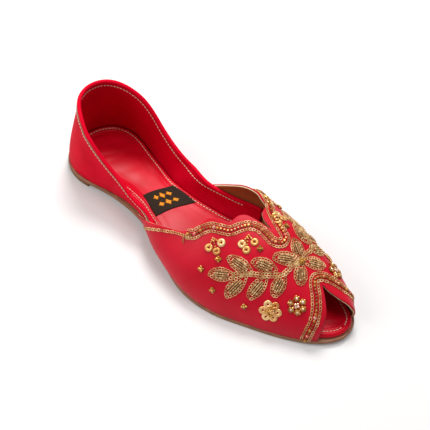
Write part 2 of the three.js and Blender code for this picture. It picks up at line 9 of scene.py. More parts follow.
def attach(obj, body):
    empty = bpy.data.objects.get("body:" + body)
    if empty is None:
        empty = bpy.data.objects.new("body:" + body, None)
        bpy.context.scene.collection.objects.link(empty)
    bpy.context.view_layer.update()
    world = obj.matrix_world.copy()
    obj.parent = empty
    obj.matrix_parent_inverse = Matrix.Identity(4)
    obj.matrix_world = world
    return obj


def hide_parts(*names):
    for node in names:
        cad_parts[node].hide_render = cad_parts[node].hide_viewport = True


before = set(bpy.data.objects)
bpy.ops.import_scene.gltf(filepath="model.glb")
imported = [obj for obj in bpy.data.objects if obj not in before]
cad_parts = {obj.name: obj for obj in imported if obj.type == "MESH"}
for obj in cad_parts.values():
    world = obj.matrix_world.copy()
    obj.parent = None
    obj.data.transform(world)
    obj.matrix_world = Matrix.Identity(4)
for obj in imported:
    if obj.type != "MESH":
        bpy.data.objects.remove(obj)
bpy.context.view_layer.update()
scene = bpy.context.scene

# Camera
# A long lens held high at the toe's outer side, turned a little, as the shoe is shown in a shop.
turn, height, roll, distance = math.radians(35.9), math.radians(50.3), math.radians(9.7), 0.8428
aim = Vector((0.1082, 0.0081, 0.0206))
back = Vector((math.sin(turn) * math.cos(height), -math.cos(turn) * math.cos(height), math.sin(height)))
level = Vector((math.cos(turn), math.sin(turn), 0))
upright = back.cross(level)
right = math.cos(roll) * level + math.sin(roll) * upright
above = math.cos(roll) * upright - math.sin(roll) * level
camera = bpy.data.objects.new("camera", bpy.data.cameras.new("camera"))
camera.data.sensor_width, camera.data.lens = 36, 36 * 1200 / 430
camera.matrix_world = Matrix.Translation(aim + back * distance) @ Matrix(
    (right, above, back)).transposed().to_4x4()
scene.collection.objects.link(camera)
scene.camera = camera
scene.view_settings.view_transform = "Standard"


# Floor and lights
# An opal light table in a white room, lit a little from below, so that shadows on it stay pale. A
# soft lamp stands high behind the shoe, and weaker ones over it and at its outer side.
def colour(code):
    """Linear colour of an sRGB hex value."""
    parts = [int(code[i:i + 2], 16) / 255 for i in (1, 3, 5)]
    return [c / 12.92 if c <= 0.04045 else ((c + 0.055) / 1.055) ** 2.4 for c in parts] + [1]


def add(tree, kind, values=(), links=(), **settings):
    """Adds a node with its settings, its sockets' values and the sockets linked to them."""
    node = tree.nodes.new(kind)
    for key, value in settings.items():
        setattr(node, key, value)
    for key, value in dict(values).items():
        node.inputs[key].default_value = value
    for key, source in dict(links).items():
        tree.links.new(source, node.inputs[key])
    return node


def new_material(name):
    """Empty material and its output node."""
    made = bpy.data.materials.new(name)
    made.use_nodes = True
    made.node_tree.nodes.clear()
    return made, made.node_tree, made.node_tree.nodes.new("ShaderNodeOutputMaterial")


def mottled(name, dark, light, scale, detail, values, relief=0.0):
    """Matt material of two tones, mixed by a noise and raised by it where relief is given."""
    made, tree, output = new_material(name)
    where = add(tree, "ShaderNodeTexCoord").outputs["Object"]
    noise = add(tree, "ShaderNodeTexNoise", {"Scale": scale, "Detail": detail}, {"Vector": where})
    tones = add(tree, "ShaderNodeMix", {6: colour(dark), 7: colour(light)},
                {0: noise.outputs["Fac"]}, data_type="RGBA")
    links = {"Base Color": tones.outputs[2]}
    if relief:
        bump = add(tree, "ShaderNodeBump", {"Strength": relief, "Distance": 0.0001},
                   {"Height": noise.outputs["Fac"]})
        links["Normal"] = bump.outputs[0]
    shader = add(tree, "ShaderNodeBsdfPrincipled", values, links)
    tree.links.new(shader.outputs[0], output.inputs[0])
    return made


opal_table = mottled("opal_table", "#d6d5d4", "#d2d1d0", 6.0, 2.0, {
    "Roughness": 0.9, "Specular IOR Level": 0.2, "Emission Color": colour("#ffffff"),
    "Emission Strength": 0.1})
floor_mesh = bpy.data.meshes.new("floor")
floor_mesh.from_pydata([(-4, -4, 0), (4, -4, 0), (4, 4, 0), (-4, 4, 0)], [], [(0, 1, 2, 3)])
floor_mesh.materials.append(opal_table)
floor = bpy.data.objects.new("floor", floor_mesh)
scene.collection.objects.link(floor)

for name, place, size, power in (("back_lamp", (-0.30, 0.46, 1.06), 0.5, 13.0),
                                 ("top_lamp", (0.15, 0.05, 1.30), 0.5, 4.5),
                                 ("side_lamp", (-0.45, -0.80, 0.80), 0.8, 7.0)):
    lamp = bpy.data.lights.new(name, "AREA")
    lamp.shape, lamp.size, lamp.energy = "DISK", size, power
    lamp_object = bpy.data.objects.new(name, lamp)
    lamp_object.location = place
    lamp_object.rotation_euler = (Vector(place) - aim).to_track_quat("Z", "Y").to_euler()
    scene.collection.objects.link(lamp_object)
scene.world = bpy.data.worlds.new("white_room")
scene.world.use_nodes = True
scene.world.node_tree.nodes["Background"].inputs["Color"].default_value = (1, 1, 1, 1)
scene.world.node_tree.nodes["Background"].inputs["Strength"].default_value = 0.31

# Outsole
# One thickness of tan vegetable-tanned sole leather, cut to the foot's outline and burnished at its
# edge. It follows the arch and springs up a little at the toe. All lengths are in millimetres from
# the back of the heel until a piece is made.
SOLE_LENGTH, BALL_WIDTH, OUTSOLE_THICKNESS = 250.0, 82.0, 3.0
HEEL_LIFT_HEIGHT, HEEL_LIFT_LENGTH, ARCH_RISE, TOE_SPRING = 3.6, 36.0, 4.5, 1.8
TOE_BLUNTING, SEAM_GAP, SOLE_STEPS, LID_COLUMNS = 0.3, 0.3, 150, 24


def table(names, text):
    """Columns of a small table of numbers."""
    rows = [[float(word) for word in line.split()] for line in text.strip().splitlines()]
    return dict(zip(names.split(), np.array(rows).T))


def curve(rows, column, key="at", flowing=False):
    """Smooth curve through a table's rows. The plain kind never swings past a row."""
    xs, ys = rows[key], rows[column]
    step = np.diff(xs)
    slope = np.diff(ys) / step
    tangent = np.concatenate([slope[:1], np.zeros(len(xs) - 2), slope[-1:]])
    for i in range(1, len(xs) - 1):
        before, after = slope[i - 1], slope[i]
        if flowing:
            tangent[i] = (before * step[i] + after * step[i - 1]) / (step[i] + step[i - 1])
        elif before * after > 0:
            near, far = 2 * step[i] + step[i - 1], step[i] + 2 * step[i - 1]
            tangent[i] = (near + far) / (near / before + far / after)

    def value(x):
        x = np.clip(np.asarray(x, float), xs[0], xs[-1])
        i = np.clip(np.searchsorted(xs, x, side="right") - 1, 0, len(xs) - 2)
        t = (x - xs[i]) / step[i]
        rest = 1 - t
        return (ys[i] * rest * rest * (1 + 2 * t) + ys[i + 1] * t * t * (3 - 2 * t)
                + step[i] * t * rest * (tangent[i] * rest - tangent[i + 1] * t))
    return value


outline = table("at half mid", """
    0.00 0.857  0.000
    0.10 0.365  0.000
    0.22 0.296 -0.006
    0.36 0.270 -0.048
    0.48 0.380 -0.078
    0.60 0.501 -0.059
    0.70 0.499 -0.028
    0.80 0.426  0.026
    0.90 0.333  0.089
    1.00 0.600  0.140""")
underside_rows = table("at heel arch toe", """
    0.00 1.00 0.00 0.0
    0.12 1.00 0.00 0.0
    0.24 0.93 0.00 0.0
    0.40 0.00 1.00 0.0
    0.56 0.00 0.11 0.0
    0.66 0.00 0.00 0.0
    0.82 0.00 0.00 0.0
    0.92 0.00 0.00 0.4
    1.00 0.00 0.00 1.0""")


def share(x):
    """Share of the sole's length at x."""
    return np.clip(np.asarray(x, float) / SOLE_LENGTH, 0, 1)


def oval(at):
    """Half width of a circle's outline at a share of its length, 1 at the middle."""
    return 2 * np.sqrt(np.maximum(at * (1 - at), 0))


ends = oval(outline["at"])
outline["round"] = outline["half"] / np.where(ends > 0, ends, 1)
half_curve = curve(outline, "round", flowing=True)
mid_curve = curve(outline, "mid", flowing=True)
heel_curve, arch_curve, toe_curve = (curve(underside_rows, c) for c in ("heel", "arch", "toe"))


def half_width(x):
    """Half of the sole's width at x."""
    return BALL_WIDTH * half_curve(share(x)) * oval(share(x))


def middle(x):
    """Line midway between the sole's two edges."""
    return BALL_WIDTH * mid_curve(share(x))


def underside(x):
    """Height of the sole's underside, over the heel lift, the arch and the toe's spring."""
    return (HEEL_LIFT_HEIGHT * heel_curve(share(x)) + ARCH_RISE * arch_curve(share(x))
            + TOE_SPRING * toe_curve(share(x)))


def direction(vectors):
    """The same directions at length one."""
    return vectors / np.linalg.norm(vectors, axis=-1, keepdims=True)


def ease(t):
    """Soft step from 0 to 1, held at its ends."""
    t = np.clip(t, 0, 1)
    return t * t * (3 - 2 * t)


def edge_walk(walk, front):
    """Points of the outline, and their directions outward, for walks from -1 to 1 round the heel."""
    def edge(value):
        x = SOLE_LENGTH * (1 - np.cos(math.acos(1 - 2 * front / SOLE_LENGTH) * value)) / 2
        return np.stack([x, middle(x) + np.sign(value) * half_width(x)], -1)
    along = direction(edge(np.minimum(walk + 1e-3, 1)) - edge(np.maximum(walk - 1e-3, -1)))
    return edge(walk), np.stack([-along[..., 1], along[..., 0]], -1)


def edge_ring(steps, front, inset, tall):
    """Ring along the outline, set in from it. inset and tall are numbers or functions of
    x and of the side, -1 at the outer and 1 at the inner side."""
    point, outward = edge_walk(np.linspace(-1, 1, 2 * steps + 1), front)
    side = np.sign(np.linspace(-1, 1, 2 * steps + 1))
    depth = inset(point[:, 0], side) if callable(inset) else inset
    flat = point - outward * np.reshape(depth, (-1, 1))
    z = tall(flat[:, 0], side) if callable(tall) else np.full(len(flat), tall)
    return np.column_stack([flat, z])


def stack(rings, bow=None):
    """Points and faces of a solid through rings. Its two ends close across from one half of the
    ring to the other, and bow lifts the upper end on rungs of its own points."""
    count, size = len(rings), len(rings[0])
    points = [p for ring in rings for p in ring]
    faces = [(r * size + i, r * size + (i + 1) % size, (r + 1) * size + (i + 1) % size,
              (r + 1) * size + i) for r in range(count - 1) for i in range(size)]
    half = size // 2
    for first in (0, (count - 1) * size):
        columns = LID_COLUMNS if first and bow else 1
        grid = []
        for i in range(half):
            a, b = points[first + i], points[first + size - 1 - i]
            line = [first + i]
            for t in np.arange(1, columns) / columns:
                p = a * (1 - t) + b * t
                line.append(len(points))
                points.append(p + (0, 0, bow(p[0], p[1], t)))
            grid.append(line + [first + size - 1 - i])
        lid = [(grid[i][k], grid[i][k + 1], grid[i + 1][k + 1], grid[i + 1][k])
               for i in range(half - 1) for k in range(columns)]
        if size % 2:
            lid.append((*grid[-1], first + half))
        faces += [face[::-1] for face in lid] if first else lid
    return points, faces


def metres(points):
    """Places in the shoe's frame, in metres, of points in millimetres from the back of the heel."""
    return ((np.asarray(points, float) - (HEEL_LIFT_LENGTH / 2, 0, 0)) / 1000).tolist()


def piece(name, points, faces, materials, parts=None):
    """Smooth object with its place in its mesh. parts picks each face's material."""
    mesh = bpy.data.meshes.new(name)
    mesh.from_pydata(metres(points), [], [tuple(int(i) for i in f) for f in faces])
    for material in materials:
        mesh.materials.append(material)
    if parts is not None:
        mesh.polygons.foreach_set("material_index", np.asarray(parts, np.int32))
    work = bmesh.new()
    work.from_mesh(mesh)
    bmesh.ops.recalc_face_normals(work, faces=work.faces)
    work.to_mesh(mesh)
    work.free()
    mesh.polygons.foreach_set("use_smooth", [True] * len(mesh.polygons))
    mesh.update()
    made = bpy.data.objects.new(name, mesh)
    scene.collection.objects.link(made)
    return made


def carried(made, slot, *nodes):
    """Finished piece: it rides on the shoe and stands for its solids; slot is not used."""
    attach(made, "root")
    if nodes:
        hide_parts(*nodes)
    return made


def streaked_leather(name, dark, light, thinner, noise, relief, roughness):
    """Vegetable-tanned leather in layers: dull, with streaks along its edge, thinner than long."""
    made, tree, output = new_material(name)
    where = add(tree, "ShaderNodeTexCoord").outputs["Object"]
    layers = add(tree, "ShaderNodeMapping", {"Scale": (1, 1, thinner)}, {"Vector": where})
    streaks = add(tree, "ShaderNodeTexNoise", noise, {"Vector": layers.outputs[0]})
    tones = add(tree, "ShaderNodeValToRGB", links={"Fac": streaks.outputs["Fac"]})
    tones.color_ramp.elements[0].position, tones.color_ramp.elements[0].color = 0.3, colour(dark)
    tones.color_ramp.elements[1].position, tones.color_ramp.elements[1].color = 0.7, colour(light)
    bump = add(tree, "ShaderNodeBump", {"Strength": relief, "Distance": 0.0002},
               {"Height": streaks.outputs["Fac"]})
    shader = add(tree, "ShaderNodeBsdfPrincipled", {"Roughness": roughness, "IOR": 1.5},
                 {"Base Color": tones.outputs["Color"], "Normal": bump.outputs[0]})
    tree.links.new(shader.outputs[0], output.inputs[0])
    return made


# Close-grained leather, rubbed and burnished at its edge, with a streak every 0.4 mm.
sole_leather = streaked_leather("burnished_sole_leather", "#6c402a", "#aa7652", 14,
                                {"Scale": 180.0, "Detail": 4.0, "Roughness": 0.6}, 0.35, 0.62)
full_sole = SOLE_LENGTH - TOE_BLUNTING
sole_profile = [(0.9, 0.0), (0.45, 0.08), (0.12, 0.35), (0.0, 0.9), (0.0, 1.55), (0.14, 1.72),
                (0.0, 1.9), (0.0, 2.5), (0.12, 2.85), (0.45, 3.0)]
points, faces = stack([
    edge_ring(SOLE_STEPS, full_sole, inset, lambda x, side, up=up: underside(x) + up)
    for inset, up in sole_profile])
carried(piece("outsole_leather", points, faces, [sole_leather]), "sole_leather", "outsole")

# Heel lift
# Two thin layers of the same leather nailed and glued under the heel, cut straight at the front.
heel_leather = streaked_leather("stacked_heel_leather", "#60401f", "#94683f", 10,
                                {"Scale": 150.0, "Detail": 5.0}, 0.4, 0.7)
lift_profile = [(1.0, 0.0), (0.75, 0.15), (0.7, 1.5), (0.95, 1.68), (0.95, 1.8), (0.6, 1.95),
                (0.6, HEEL_LIFT_HEIGHT - 0.05)]
points, faces = stack([edge_ring(60, HEEL_LIFT_LENGTH, inset, up) for inset, up in lift_profile])
carried(piece("heel_stack", points, faces, [heel_leather]), "heel_leather", "heel_lift")

# Footbed
# A board under thin foam, covered with glossy red leather that is drawn over a cord at the rim and
# stitched down inside it. The middle is slightly domed and has a few soft wrinkles from lasting.
UPPER_INSET, INSOLE_PLAY = 0.6, 0.3
QUARTER_WALL, VAMP_WALL = 1.6, 1.6
footbed_edge = table("at quarter vamp", """
    0.00 1 0
    0.25 1 0
    0.33 1 1
    0.59 1 1
    0.66 0 1
    0.94 0 1.3
    1.00 0 0.4""")
quarter_side, vamp_side = curve(footbed_edge, "quarter"), curve(footbed_edge, "vamp")


def upper_foot(x):
    """Height at which the upper and the footbed stand on the sole."""
    return underside(x) + OUTSOLE_THICKNESS + SEAM_GAP


def footbed_inset(x):
    """Inset of the footbed from the sole's edge, inside the walls that stand there."""
    return (UPPER_INSET + INSOLE_PLAY + (QUARTER_WALL + SEAM_GAP) * quarter_side(share(x))
            + (VAMP_WALL + SEAM_GAP) * vamp_side(share(x)))


def red_leather(name, dark, light, roughness, gloss, coat, grain, sheen=0.0):
    """Aniline-dyed goat leather: pores and creases every grain millimetres, cloudy dye, soft gloss."""
    made, tree, output = new_material(name)
    where = add(tree, "ShaderNodeTexCoord").outputs["Object"]
    cloud = add(tree, "ShaderNodeTexNoise", {"Scale": 55.0, "Detail": 3.0}, {"Vector": where})
    dye = add(tree, "ShaderNodeValToRGB", links={"Fac": cloud.outputs["Fac"]})
    dye.color_ramp.elements[0].position, dye.color_ramp.elements[0].color = 0.3, colour(dark)
    dye.color_ramp.elements[1].position, dye.color_ramp.elements[1].color = 0.7, colour(light)
    pores = add(tree, "ShaderNodeTexVoronoi", {"Scale": 1000.0 / grain, "Randomness": 1.0},
                {"Vector": where}, feature="DISTANCE_TO_EDGE")
    fine = add(tree, "ShaderNodeTexNoise", {"Scale": 2600.0 / grain, "Detail": 3.0}, {"Vector": where})
    skin = add(tree, "ShaderNodeMath", {2: 0.0}, {0: pores.outputs["Distance"], 1: fine.outputs["Fac"]},
               operation="MULTIPLY")
    bump = add(tree, "ShaderNodeBump", {"Strength": 0.35, "Distance": 0.0001 * grain},
               {"Height": skin.outputs[0]})
    shader = add(tree, "ShaderNodeBsdfPrincipled",
                 {"Roughness": roughness, "Specular IOR Level": gloss, "Coat Weight": coat,
                  "Coat Roughness": 0.3, "Sheen Weight": sheen},
                 {"Base Color": dye.outputs["Color"], "Normal": bump.outputs[0]})
    tree.links.new(shader.outputs[0], output.inputs[0])
    return made


sock_leather = red_leather("glossy_red_sock_leather", "#b80016", "#cc0222", 0.38, 0.11, 0.08, 0.7)
rim_profile = [(0.6, 0.0), (0.15, 0.25), (0.0, 1.0), (0.1, 1.9), (0.45, 2.7), (1.0, 3.25), (1.6, 3.5),
               (2.1, 3.4), (2.5, 3.1), (2.85, 2.85), (3.2, 3.0), (3.7, 3.25), (4.4, 3.32), (4.9, 3.2),
               (5.2, 2.95), (5.5, 3.08), (6.4, 3.14), (9.0, 3.12)]
RIM_END, ROW_INSET, ROW_HEIGHT = 9.0, 2.85, 2.85
CURL_STARTS, CURL_FADES, SOCK_DOME = 3.0, 14.0, 0.75
TOE_RIM_FROM, TOE_RIM_OVER, TOE_RIM_GROWTH = 190.0, 40.0, 0.3
# The sock is cut a little wider than the waist, so its border climbs the walls there, by the
# millimetres in the columns outer and inner. At the outer side it also stands further in.
border = table("at outer inner further", """
    0.00 0.0 0.0 0.0
    0.10 0.5 0.0 0.0
    0.18 2.6 0.6 1.4
    0.25 4.8 2.0 2.4
    0.31 3.0 3.0 0.4
    0.37 0.6 2.6 -0.9
    0.42 0.0 1.4 -0.9
    0.56 0.0 0.3 0.0
    0.66 0.0 0.0 0.0
    1.00 0.0 0.0 0.0""")
outer_curl, inner_curl, further_in = (curve(border, c) for c in ("outer", "inner", "further"))
wrinkles = table("x y long wide deep heading", """
    22  3 16 2.2 0.20  70
    29 -4 20 2.0 0.22  62
    37  4 18 2.4 0.18  80
    48 -6 16 2.6 0.14  72
    60  2 22 3.0 0.12 100""")


def dents(folds, dx, dy):
    """Depth of all of a table's soft folds at millimetres from their middles."""
    heading = np.radians(folds["heading"])
    along = dx * np.cos(heading) + dy * np.sin(heading)
    across = dy * np.cos(heading) - dx * np.sin(heading)
    shape = np.exp(-(across / folds["wide"]) ** 2 - (along / folds["long"]) ** 4)
    return (folds["deep"] * shape).sum(-1)


def rim_inset(x, side, depth):
    """Inset of a line of the sock's rim; the toe's rim is wider."""
    wider = 1 + TOE_RIM_GROWTH * np.clip((x - TOE_RIM_FROM) / TOE_RIM_OVER, 0, 1)
    further = np.where(side < 0, further_in(share(x)), 0) * np.clip((depth - 1) / 1.5, 0, 1)
    return footbed_inset(x) + depth * wider + further


def curl(x, side, depth):
    """Climb of the border at a depth in from the footbed's edge."""
    tall = np.where(side < 0, outer_curl(share(x)), inner_curl(share(x)))
    return tall * np.clip(1 - np.maximum(depth - CURL_STARTS, 0) / CURL_FADES, 0, 1) ** 2


def rim_curl(x, side, depth):
    """Climb of a line of the rim."""
    return curl(x, side, rim_inset(x, side, depth) - footbed_inset(x))


def sock_span(x):
    """Depths at which the rim ends at the outer and the inner side, and the way between them."""
    ends = [rim_inset(x, side, RIM_END) - footbed_inset(x) for side in (-1, 1)]
    return (*ends, 2 * (half_width(x) - footbed_inset(x)) - sum(ends))


def sock_bow(x, y, t):
    """Lift of the sock's middle over its rim, with the wrinkles taken off."""
    outer_end, inner_end, span = sock_span(x)
    raised = SOCK_DOME * math.sin(math.pi * min(max(t, 0), 1)) ** 0.7 * min(1.0, (SOLE_LENGTH - x) / 30)
    for side, end, way in ((-1, outer_end, t), (1, inner_end, 1 - t)):
        raised += curl(x, side, end + way * span) - curl(x, side, end) * (1 - way)
    return float(raised - dents(wrinkles, x - wrinkles["x"], y - wrinkles["y"]))


points, faces = stack([
    edge_ring(SOLE_STEPS, full_sole, lambda x, side, d=d: rim_inset(x, side, d),
              lambda x, side, d=d, up=up: upper_foot(x) + up + rim_curl(x, side, d) * min(1, up / 2.7))
    for d, up in rim_profile], bow=sock_bow)
sock = carried(piece("footbed_sock", points, faces, [sock_leather]), "footbed_leather", "insole")

# Stitch rows
# Waxed cream thread of about 0.5 mm, in straight stitches of 2.4 mm: one row in the footbed's
# channel and one on each face of the quarter under the rolled edge. They are laid along their rows
# by one node tree, which also sets the embroidery further down.
row_tree = bpy.data.node_groups.new("units_along_rows", "GeometryNodeTree")
for label, kind in (("Rows", "Geometry"), ("Unit", "Object"), ("Pitch", "Float"), ("Tilt", "Float"),
                    ("Size spread", "Float"), ("Seed", "Int"), ("Finish", "Material")):
    row_tree.interface.new_socket(label, in_out="INPUT", socket_type="NodeSocket" + kind)
row_tree.interface.new_socket("Rows", in_out="OUTPUT", socket_type="NodeSocketGeometry")
given = add(row_tree, "NodeGroupInput").outputs
lines = add(row_tree, "GeometryNodeMeshToCurve", links={"Mesh": given["Rows"]})
spaced = add(row_tree, "GeometryNodeResampleCurve",
             links={"Curve": lines.outputs[0], "Length": given["Pitch"]}, mode="LENGTH")
facing = add(row_tree, "GeometryNodeInputNamedAttribute", {"Name": "out"}, data_type="FLOAT_VECTOR")
ahead = add(row_tree, "FunctionNodeAlignRotationToVector",
            links={"Vector": add(row_tree, "GeometryNodeInputTangent").outputs[0]}, axis="X")
stood = add(row_tree, "FunctionNodeAlignRotationToVector",
            links={"Rotation": ahead.outputs[0], "Vector": facing.outputs[0]}, axis="Z", pivot_axis="X")
chance = [add(row_tree, "FunctionNodeRandomValue", {2: low, 3: 1.0}, {"Seed": given["Seed"]},
              data_type="FLOAT") for low in (-1.0, -0.999, 0.0)]
swing = add(row_tree, "ShaderNodeMath", links={0: chance[0].outputs[1], 1: given["Tilt"]},
            operation="MULTIPLY")
swung = add(row_tree, "FunctionNodeEulerToRotation", links={
    0: add(row_tree, "ShaderNodeCombineXYZ", links={"Z": swing.outputs[0]}).outputs[0]})
posed = add(row_tree, "FunctionNodeRotateRotation", links={0: stood.outputs[0], 1: swung.outputs[0]},
            rotation_space="LOCAL")
grown = add(row_tree, "ShaderNodeMath", {2: 1.0}, {0: chance[1].outputs[1], 1: given["Size spread"]},
            operation="MULTIPLY_ADD")
shape = add(row_tree, "GeometryNodeObjectInfo", {"As Instance": True}, {"Object": given["Unit"]})
placed = add(row_tree, "GeometryNodeInstanceOnPoints", links={
    "Points": spaced.outputs[0], "Instance": shape.outputs["Geometry"],
    "Rotation": posed.outputs[0], "Scale": grown.outputs[0]})
toned = add(row_tree, "GeometryNodeStoreNamedAttribute", {"Name": "tone"},
            {"Geometry": placed.outputs[0], "Value": chance[2].outputs[1]},
            data_type="FLOAT", domain="INSTANCE")
solid = add(row_tree, "GeometryNodeRealizeInstances", links={0: toned.outputs[0]})
finished = add(row_tree, "GeometryNodeSetMaterial",
               links={"Geometry": solid.outputs[0], "Material": given["Finish"]})
add(row_tree, "NodeGroupOutput", links={0: finished.outputs[0]})


def tube(path, radius, sides=6, closed=False):
    """Points and faces of a thread of that radius along a path, with closed ends."""
    path = np.asarray(path, float)
    radius = np.broadcast_to(radius, len(path))
    if closed:
        ahead = np.roll(path, -1, 0) - np.roll(path, 1, 0)
    else:
        ahead = np.gradient(path, axis=0)
    ahead = direction(ahead)
    side = direction(np.cross(ahead, (0.03, 0.05, 1.0)))
    top = np.cross(side, ahead)
    turns = np.linspace(0, 2 * np.pi, sides, endpoint=False)
    points = [p + r * (np.cos(a) * s + np.sin(a) * t)
              for p, s, t, r in zip(path, side, top, radius) for a in turns]
    count = len(path)
    faces = [(i * sides + k, i * sides + (k + 1) % sides,
              (i + 1) % count * sides + (k + 1) % sides, (i + 1) % count * sides + k)
             for i in range(count if closed else count - 1) for k in range(sides)]
    if not closed:
        faces += [tuple(range(sides))[::-1], tuple((count - 1) * sides + k for k in range(sides))]
    return points, faces


def along_rows(name, rows, unit, pitch, finish, tilt=0.0, spread=0.0, seed=1, smooth=True):
    """One mesh of a small unit repeated along rows of (points, directions out of the surface)."""
    unit_mesh = bpy.data.meshes.new(name + "_unit")
    unit_mesh.from_pydata((np.asarray(unit[0], float) / 1000).tolist(), [], unit[1])
    unit_mesh.polygons.foreach_set("use_smooth", [smooth] * len(unit_mesh.polygons))
    unit_mesh.update()
    part = bpy.data.objects.new(name + "_unit", unit_mesh)
    scene.collection.objects.link(part)
    mesh = bpy.data.meshes.new(name + "_rows")
    starts = np.cumsum([0] + [len(r[0]) for r in rows])
    edges = [(i, i + 1) for a, b in zip(starts[:-1], starts[1:]) for i in range(a, b - 1)]
    mesh.from_pydata(metres(np.concatenate([r[0] for r in rows])), edges, [])
    out = mesh.attributes.new("out", "FLOAT_VECTOR", "POINT")
    out.data.foreach_set("vector", np.concatenate([r[1] for r in rows]).astype(np.float32).ravel())
    guide = bpy.data.objects.new(name + "_rows", mesh)
    scene.collection.objects.link(guide)
    laid = guide.modifiers.new("units", "NODES")
    laid.node_group = row_tree
    values = {"Unit": part, "Pitch": pitch / 1000, "Tilt": tilt, "Size spread": spread, "Seed": seed,
              "Finish": finish}
    for socket in row_tree.interface.items_tree:
        if socket.in_out == "INPUT" and socket.name in values:
            laid[socket.identifier] = values[socket.name]
    bpy.context.view_layer.update()
    grown = guide.evaluated_get(bpy.context.evaluated_depsgraph_get())
    made_mesh = bpy.data.meshes.new_from_object(grown)
    guide.modifiers.remove(laid)
    made = bpy.data.objects.new(name, made_mesh)
    scene.collection.objects.link(made)
    for spent in (guide, part):
        bpy.data.objects.remove(spent)
    return made


# Waxed linen thread: slightly fuzzy, cream, a little darker in the twist every 0.5 mm.
cream_thread = mottled("waxed_cream_thread", "#c9ad86", "#f4e6cc", 2000.0, 1.0,
                       {"Roughness": 0.65, "Sheen Weight": 0.2})
STITCH_PITCH = 2.45
stitch = tube([(x, 0, 0.24 - 0.42 * (abs(x) / 0.95) ** 3) for x in np.linspace(-0.95, 0.95, 6)],
              [0.2, 0.29, 0.31, 0.31, 0.29, 0.2])
channel = edge_ring(SOLE_STEPS, full_sole, lambda x, side: rim_inset(x, side, ROW_INSET),
                    lambda x, side: upper_foot(x) + ROW_HEIGHT + rim_curl(x, side, ROW_INSET))
straight_up = np.tile((0.0, 0.0, 1.0), (len(channel), 1))
carried(along_rows("footbed_stitches", [(channel, straight_up)], stitch, STITCH_PITCH, cream_thread,
                   0.06, 0.05), "footbed_leather")

# Vamp
# Front of the upper: red goat leather with a velvety finish over a tan leather lining, lasted over
# a wooden foot. Its cut edges stay raw at the throat, the wings and the open toe, where the red
# skin, the glue line and the pale flesh side show as three thin lines.
INSTEP_HEIGHT, VAMP_BULGE, CROWN_SHIFT = 50.0, 8.0, 10.0
# How around is spread over a section, the scale that makes its bulge 1 at most, the share of its
# height where it faces level, and the girth on which folds are laid.
AROUND_EASE, BULGE_PEAK, LEVEL_BELOW, FOLD_GIRTH = 1.4, 9.48, 0.12, 60.0
vamp_sections = table("at crown shift outer inner outer_square inner_square", """
    0.32 0.90  0.05 0.44 0.25 2.80 3.0
    0.44 0.96  0.53 0.97 0.68 2.80 3.0
    0.58 1.00  0.97 0.55 0.38 2.25 2.6
    0.70 0.94  1.00 0.12 0.12 2.00 2.2
    0.84 0.67  0.57 0.06 0.12 1.90 2.6
    1.00 0.30 -0.05 0.00 0.00 1.90 2.2""")
throat = table("rib at around", """
    0 0.328 0.000
    3 0.368 0.160
    8 0.416 0.290
    12 0.470 0.430
    18 0.533 0.590
    20 0.548 0.680
    22 0.557 0.775
    24 0.578 0.825
    27 0.608 0.861
    28 0.609 0.911
    30 0.624 0.972
    31 0.660 0.990
    32 0.700 1.000
    33 0.664 1.024
    34 0.644 1.062
    36 0.633 1.147
    38 0.610 1.180
    40 0.586 1.240
    44 0.538 1.365
    50 0.484 1.575
    56 0.440 1.745
    61 0.392 1.880
    64 0.360 2.000""")
toe_opening = table("rib at around", """
    0 0.958 0.000
    8 0.958 0.300
    12 0.957 0.420
    18 0.952 0.600
    22 0.942 0.750
    27 0.917 0.890
    30 0.894 0.968
    32 0.884 1.000
    34 0.907 1.008
    36 0.925 1.030
    40 0.945 1.081
    44 0.963 1.180
    50 0.977 1.330
    56 0.980 1.550
    64 0.974 2.000""")
section = {c: curve(vamp_sections, c) for c in vamp_sections if c != "at"}


def vamp_face(x, around):
    """Outer face of the vamp; around is 0 at the outer base, 1 on the crown, 2 at the inner base."""
    x, around = np.broadcast_arrays(np.asarray(x, float), np.asarray(around, float))
    at, inner = share(x), around > 1
    square = np.where(inner, section["inner_square"](at), section["outer_square"](at))
    bulge = VAMP_BULGE * np.where(inner, section["inner"](at), section["outer"](at))
    angle = np.pi / 2 * np.clip(np.minimum(around, 2 - around), 0, 1) ** AROUND_EASE
    spread = np.maximum(np.cos(angle), 0) ** (2 / square)
    rise = np.sin(angle) ** (2 / square)
    wide = (half_width(x) - UPPER_INSET) * spread + bulge * BULGE_PEAK * rise * (1 - rise) ** 3
    y = middle(x) + np.where(inner, 1, -1) * wide + CROWN_SHIFT * section["shift"](at) * rise ** 1.5
    return np.stack([x, y, upper_foot(x) + INSTEP_HEIGHT * section["crown"](at) * rise], -1)


def vamp_out(x, around):
    """Direction out of the vamp. Close to the sole it is level."""
    across = vamp_face(x, np.minimum(around + 4e-3, 2)) - vamp_face(x, np.maximum(around - 4e-3, 0))
    out = direction(np.cross(vamp_face(x + 1e-3, around) - vamp_face(x - 1e-3, around), across))
    crown = INSTEP_HEIGHT * section["crown"](share(x))
    out[..., 2] *= ease((vamp_face(x, around)[..., 2] - upper_foot(x)) / crown / LEVEL_BELOW)
    return direction(out)


vamp_folds = table("x around long wide deep heading", """
    150 0.30 26 5.0 0.30  20
    163 0.22 22 4.0 0.22  10
    196 0.20 20 4.0 0.20 -10
    214 0.55 14 3.5 0.16  70
    158 1.55 24 5.0 0.28 -15
    190 1.62 22 4.0 0.20   5""")


def vamp_at(x, around, out_by):
    """Point that far out of the vamp's face, with the soft dents of a lasted, unworn shoe."""
    dx = np.asarray(x)[..., None] - vamp_folds["x"]
    dy = (np.asarray(around)[..., None] - vamp_folds["around"]) * FOLD_GIRTH
    return vamp_face(x, around) + vamp_out(x, around) * (out_by - dents(vamp_folds, dx, dy))[..., None]


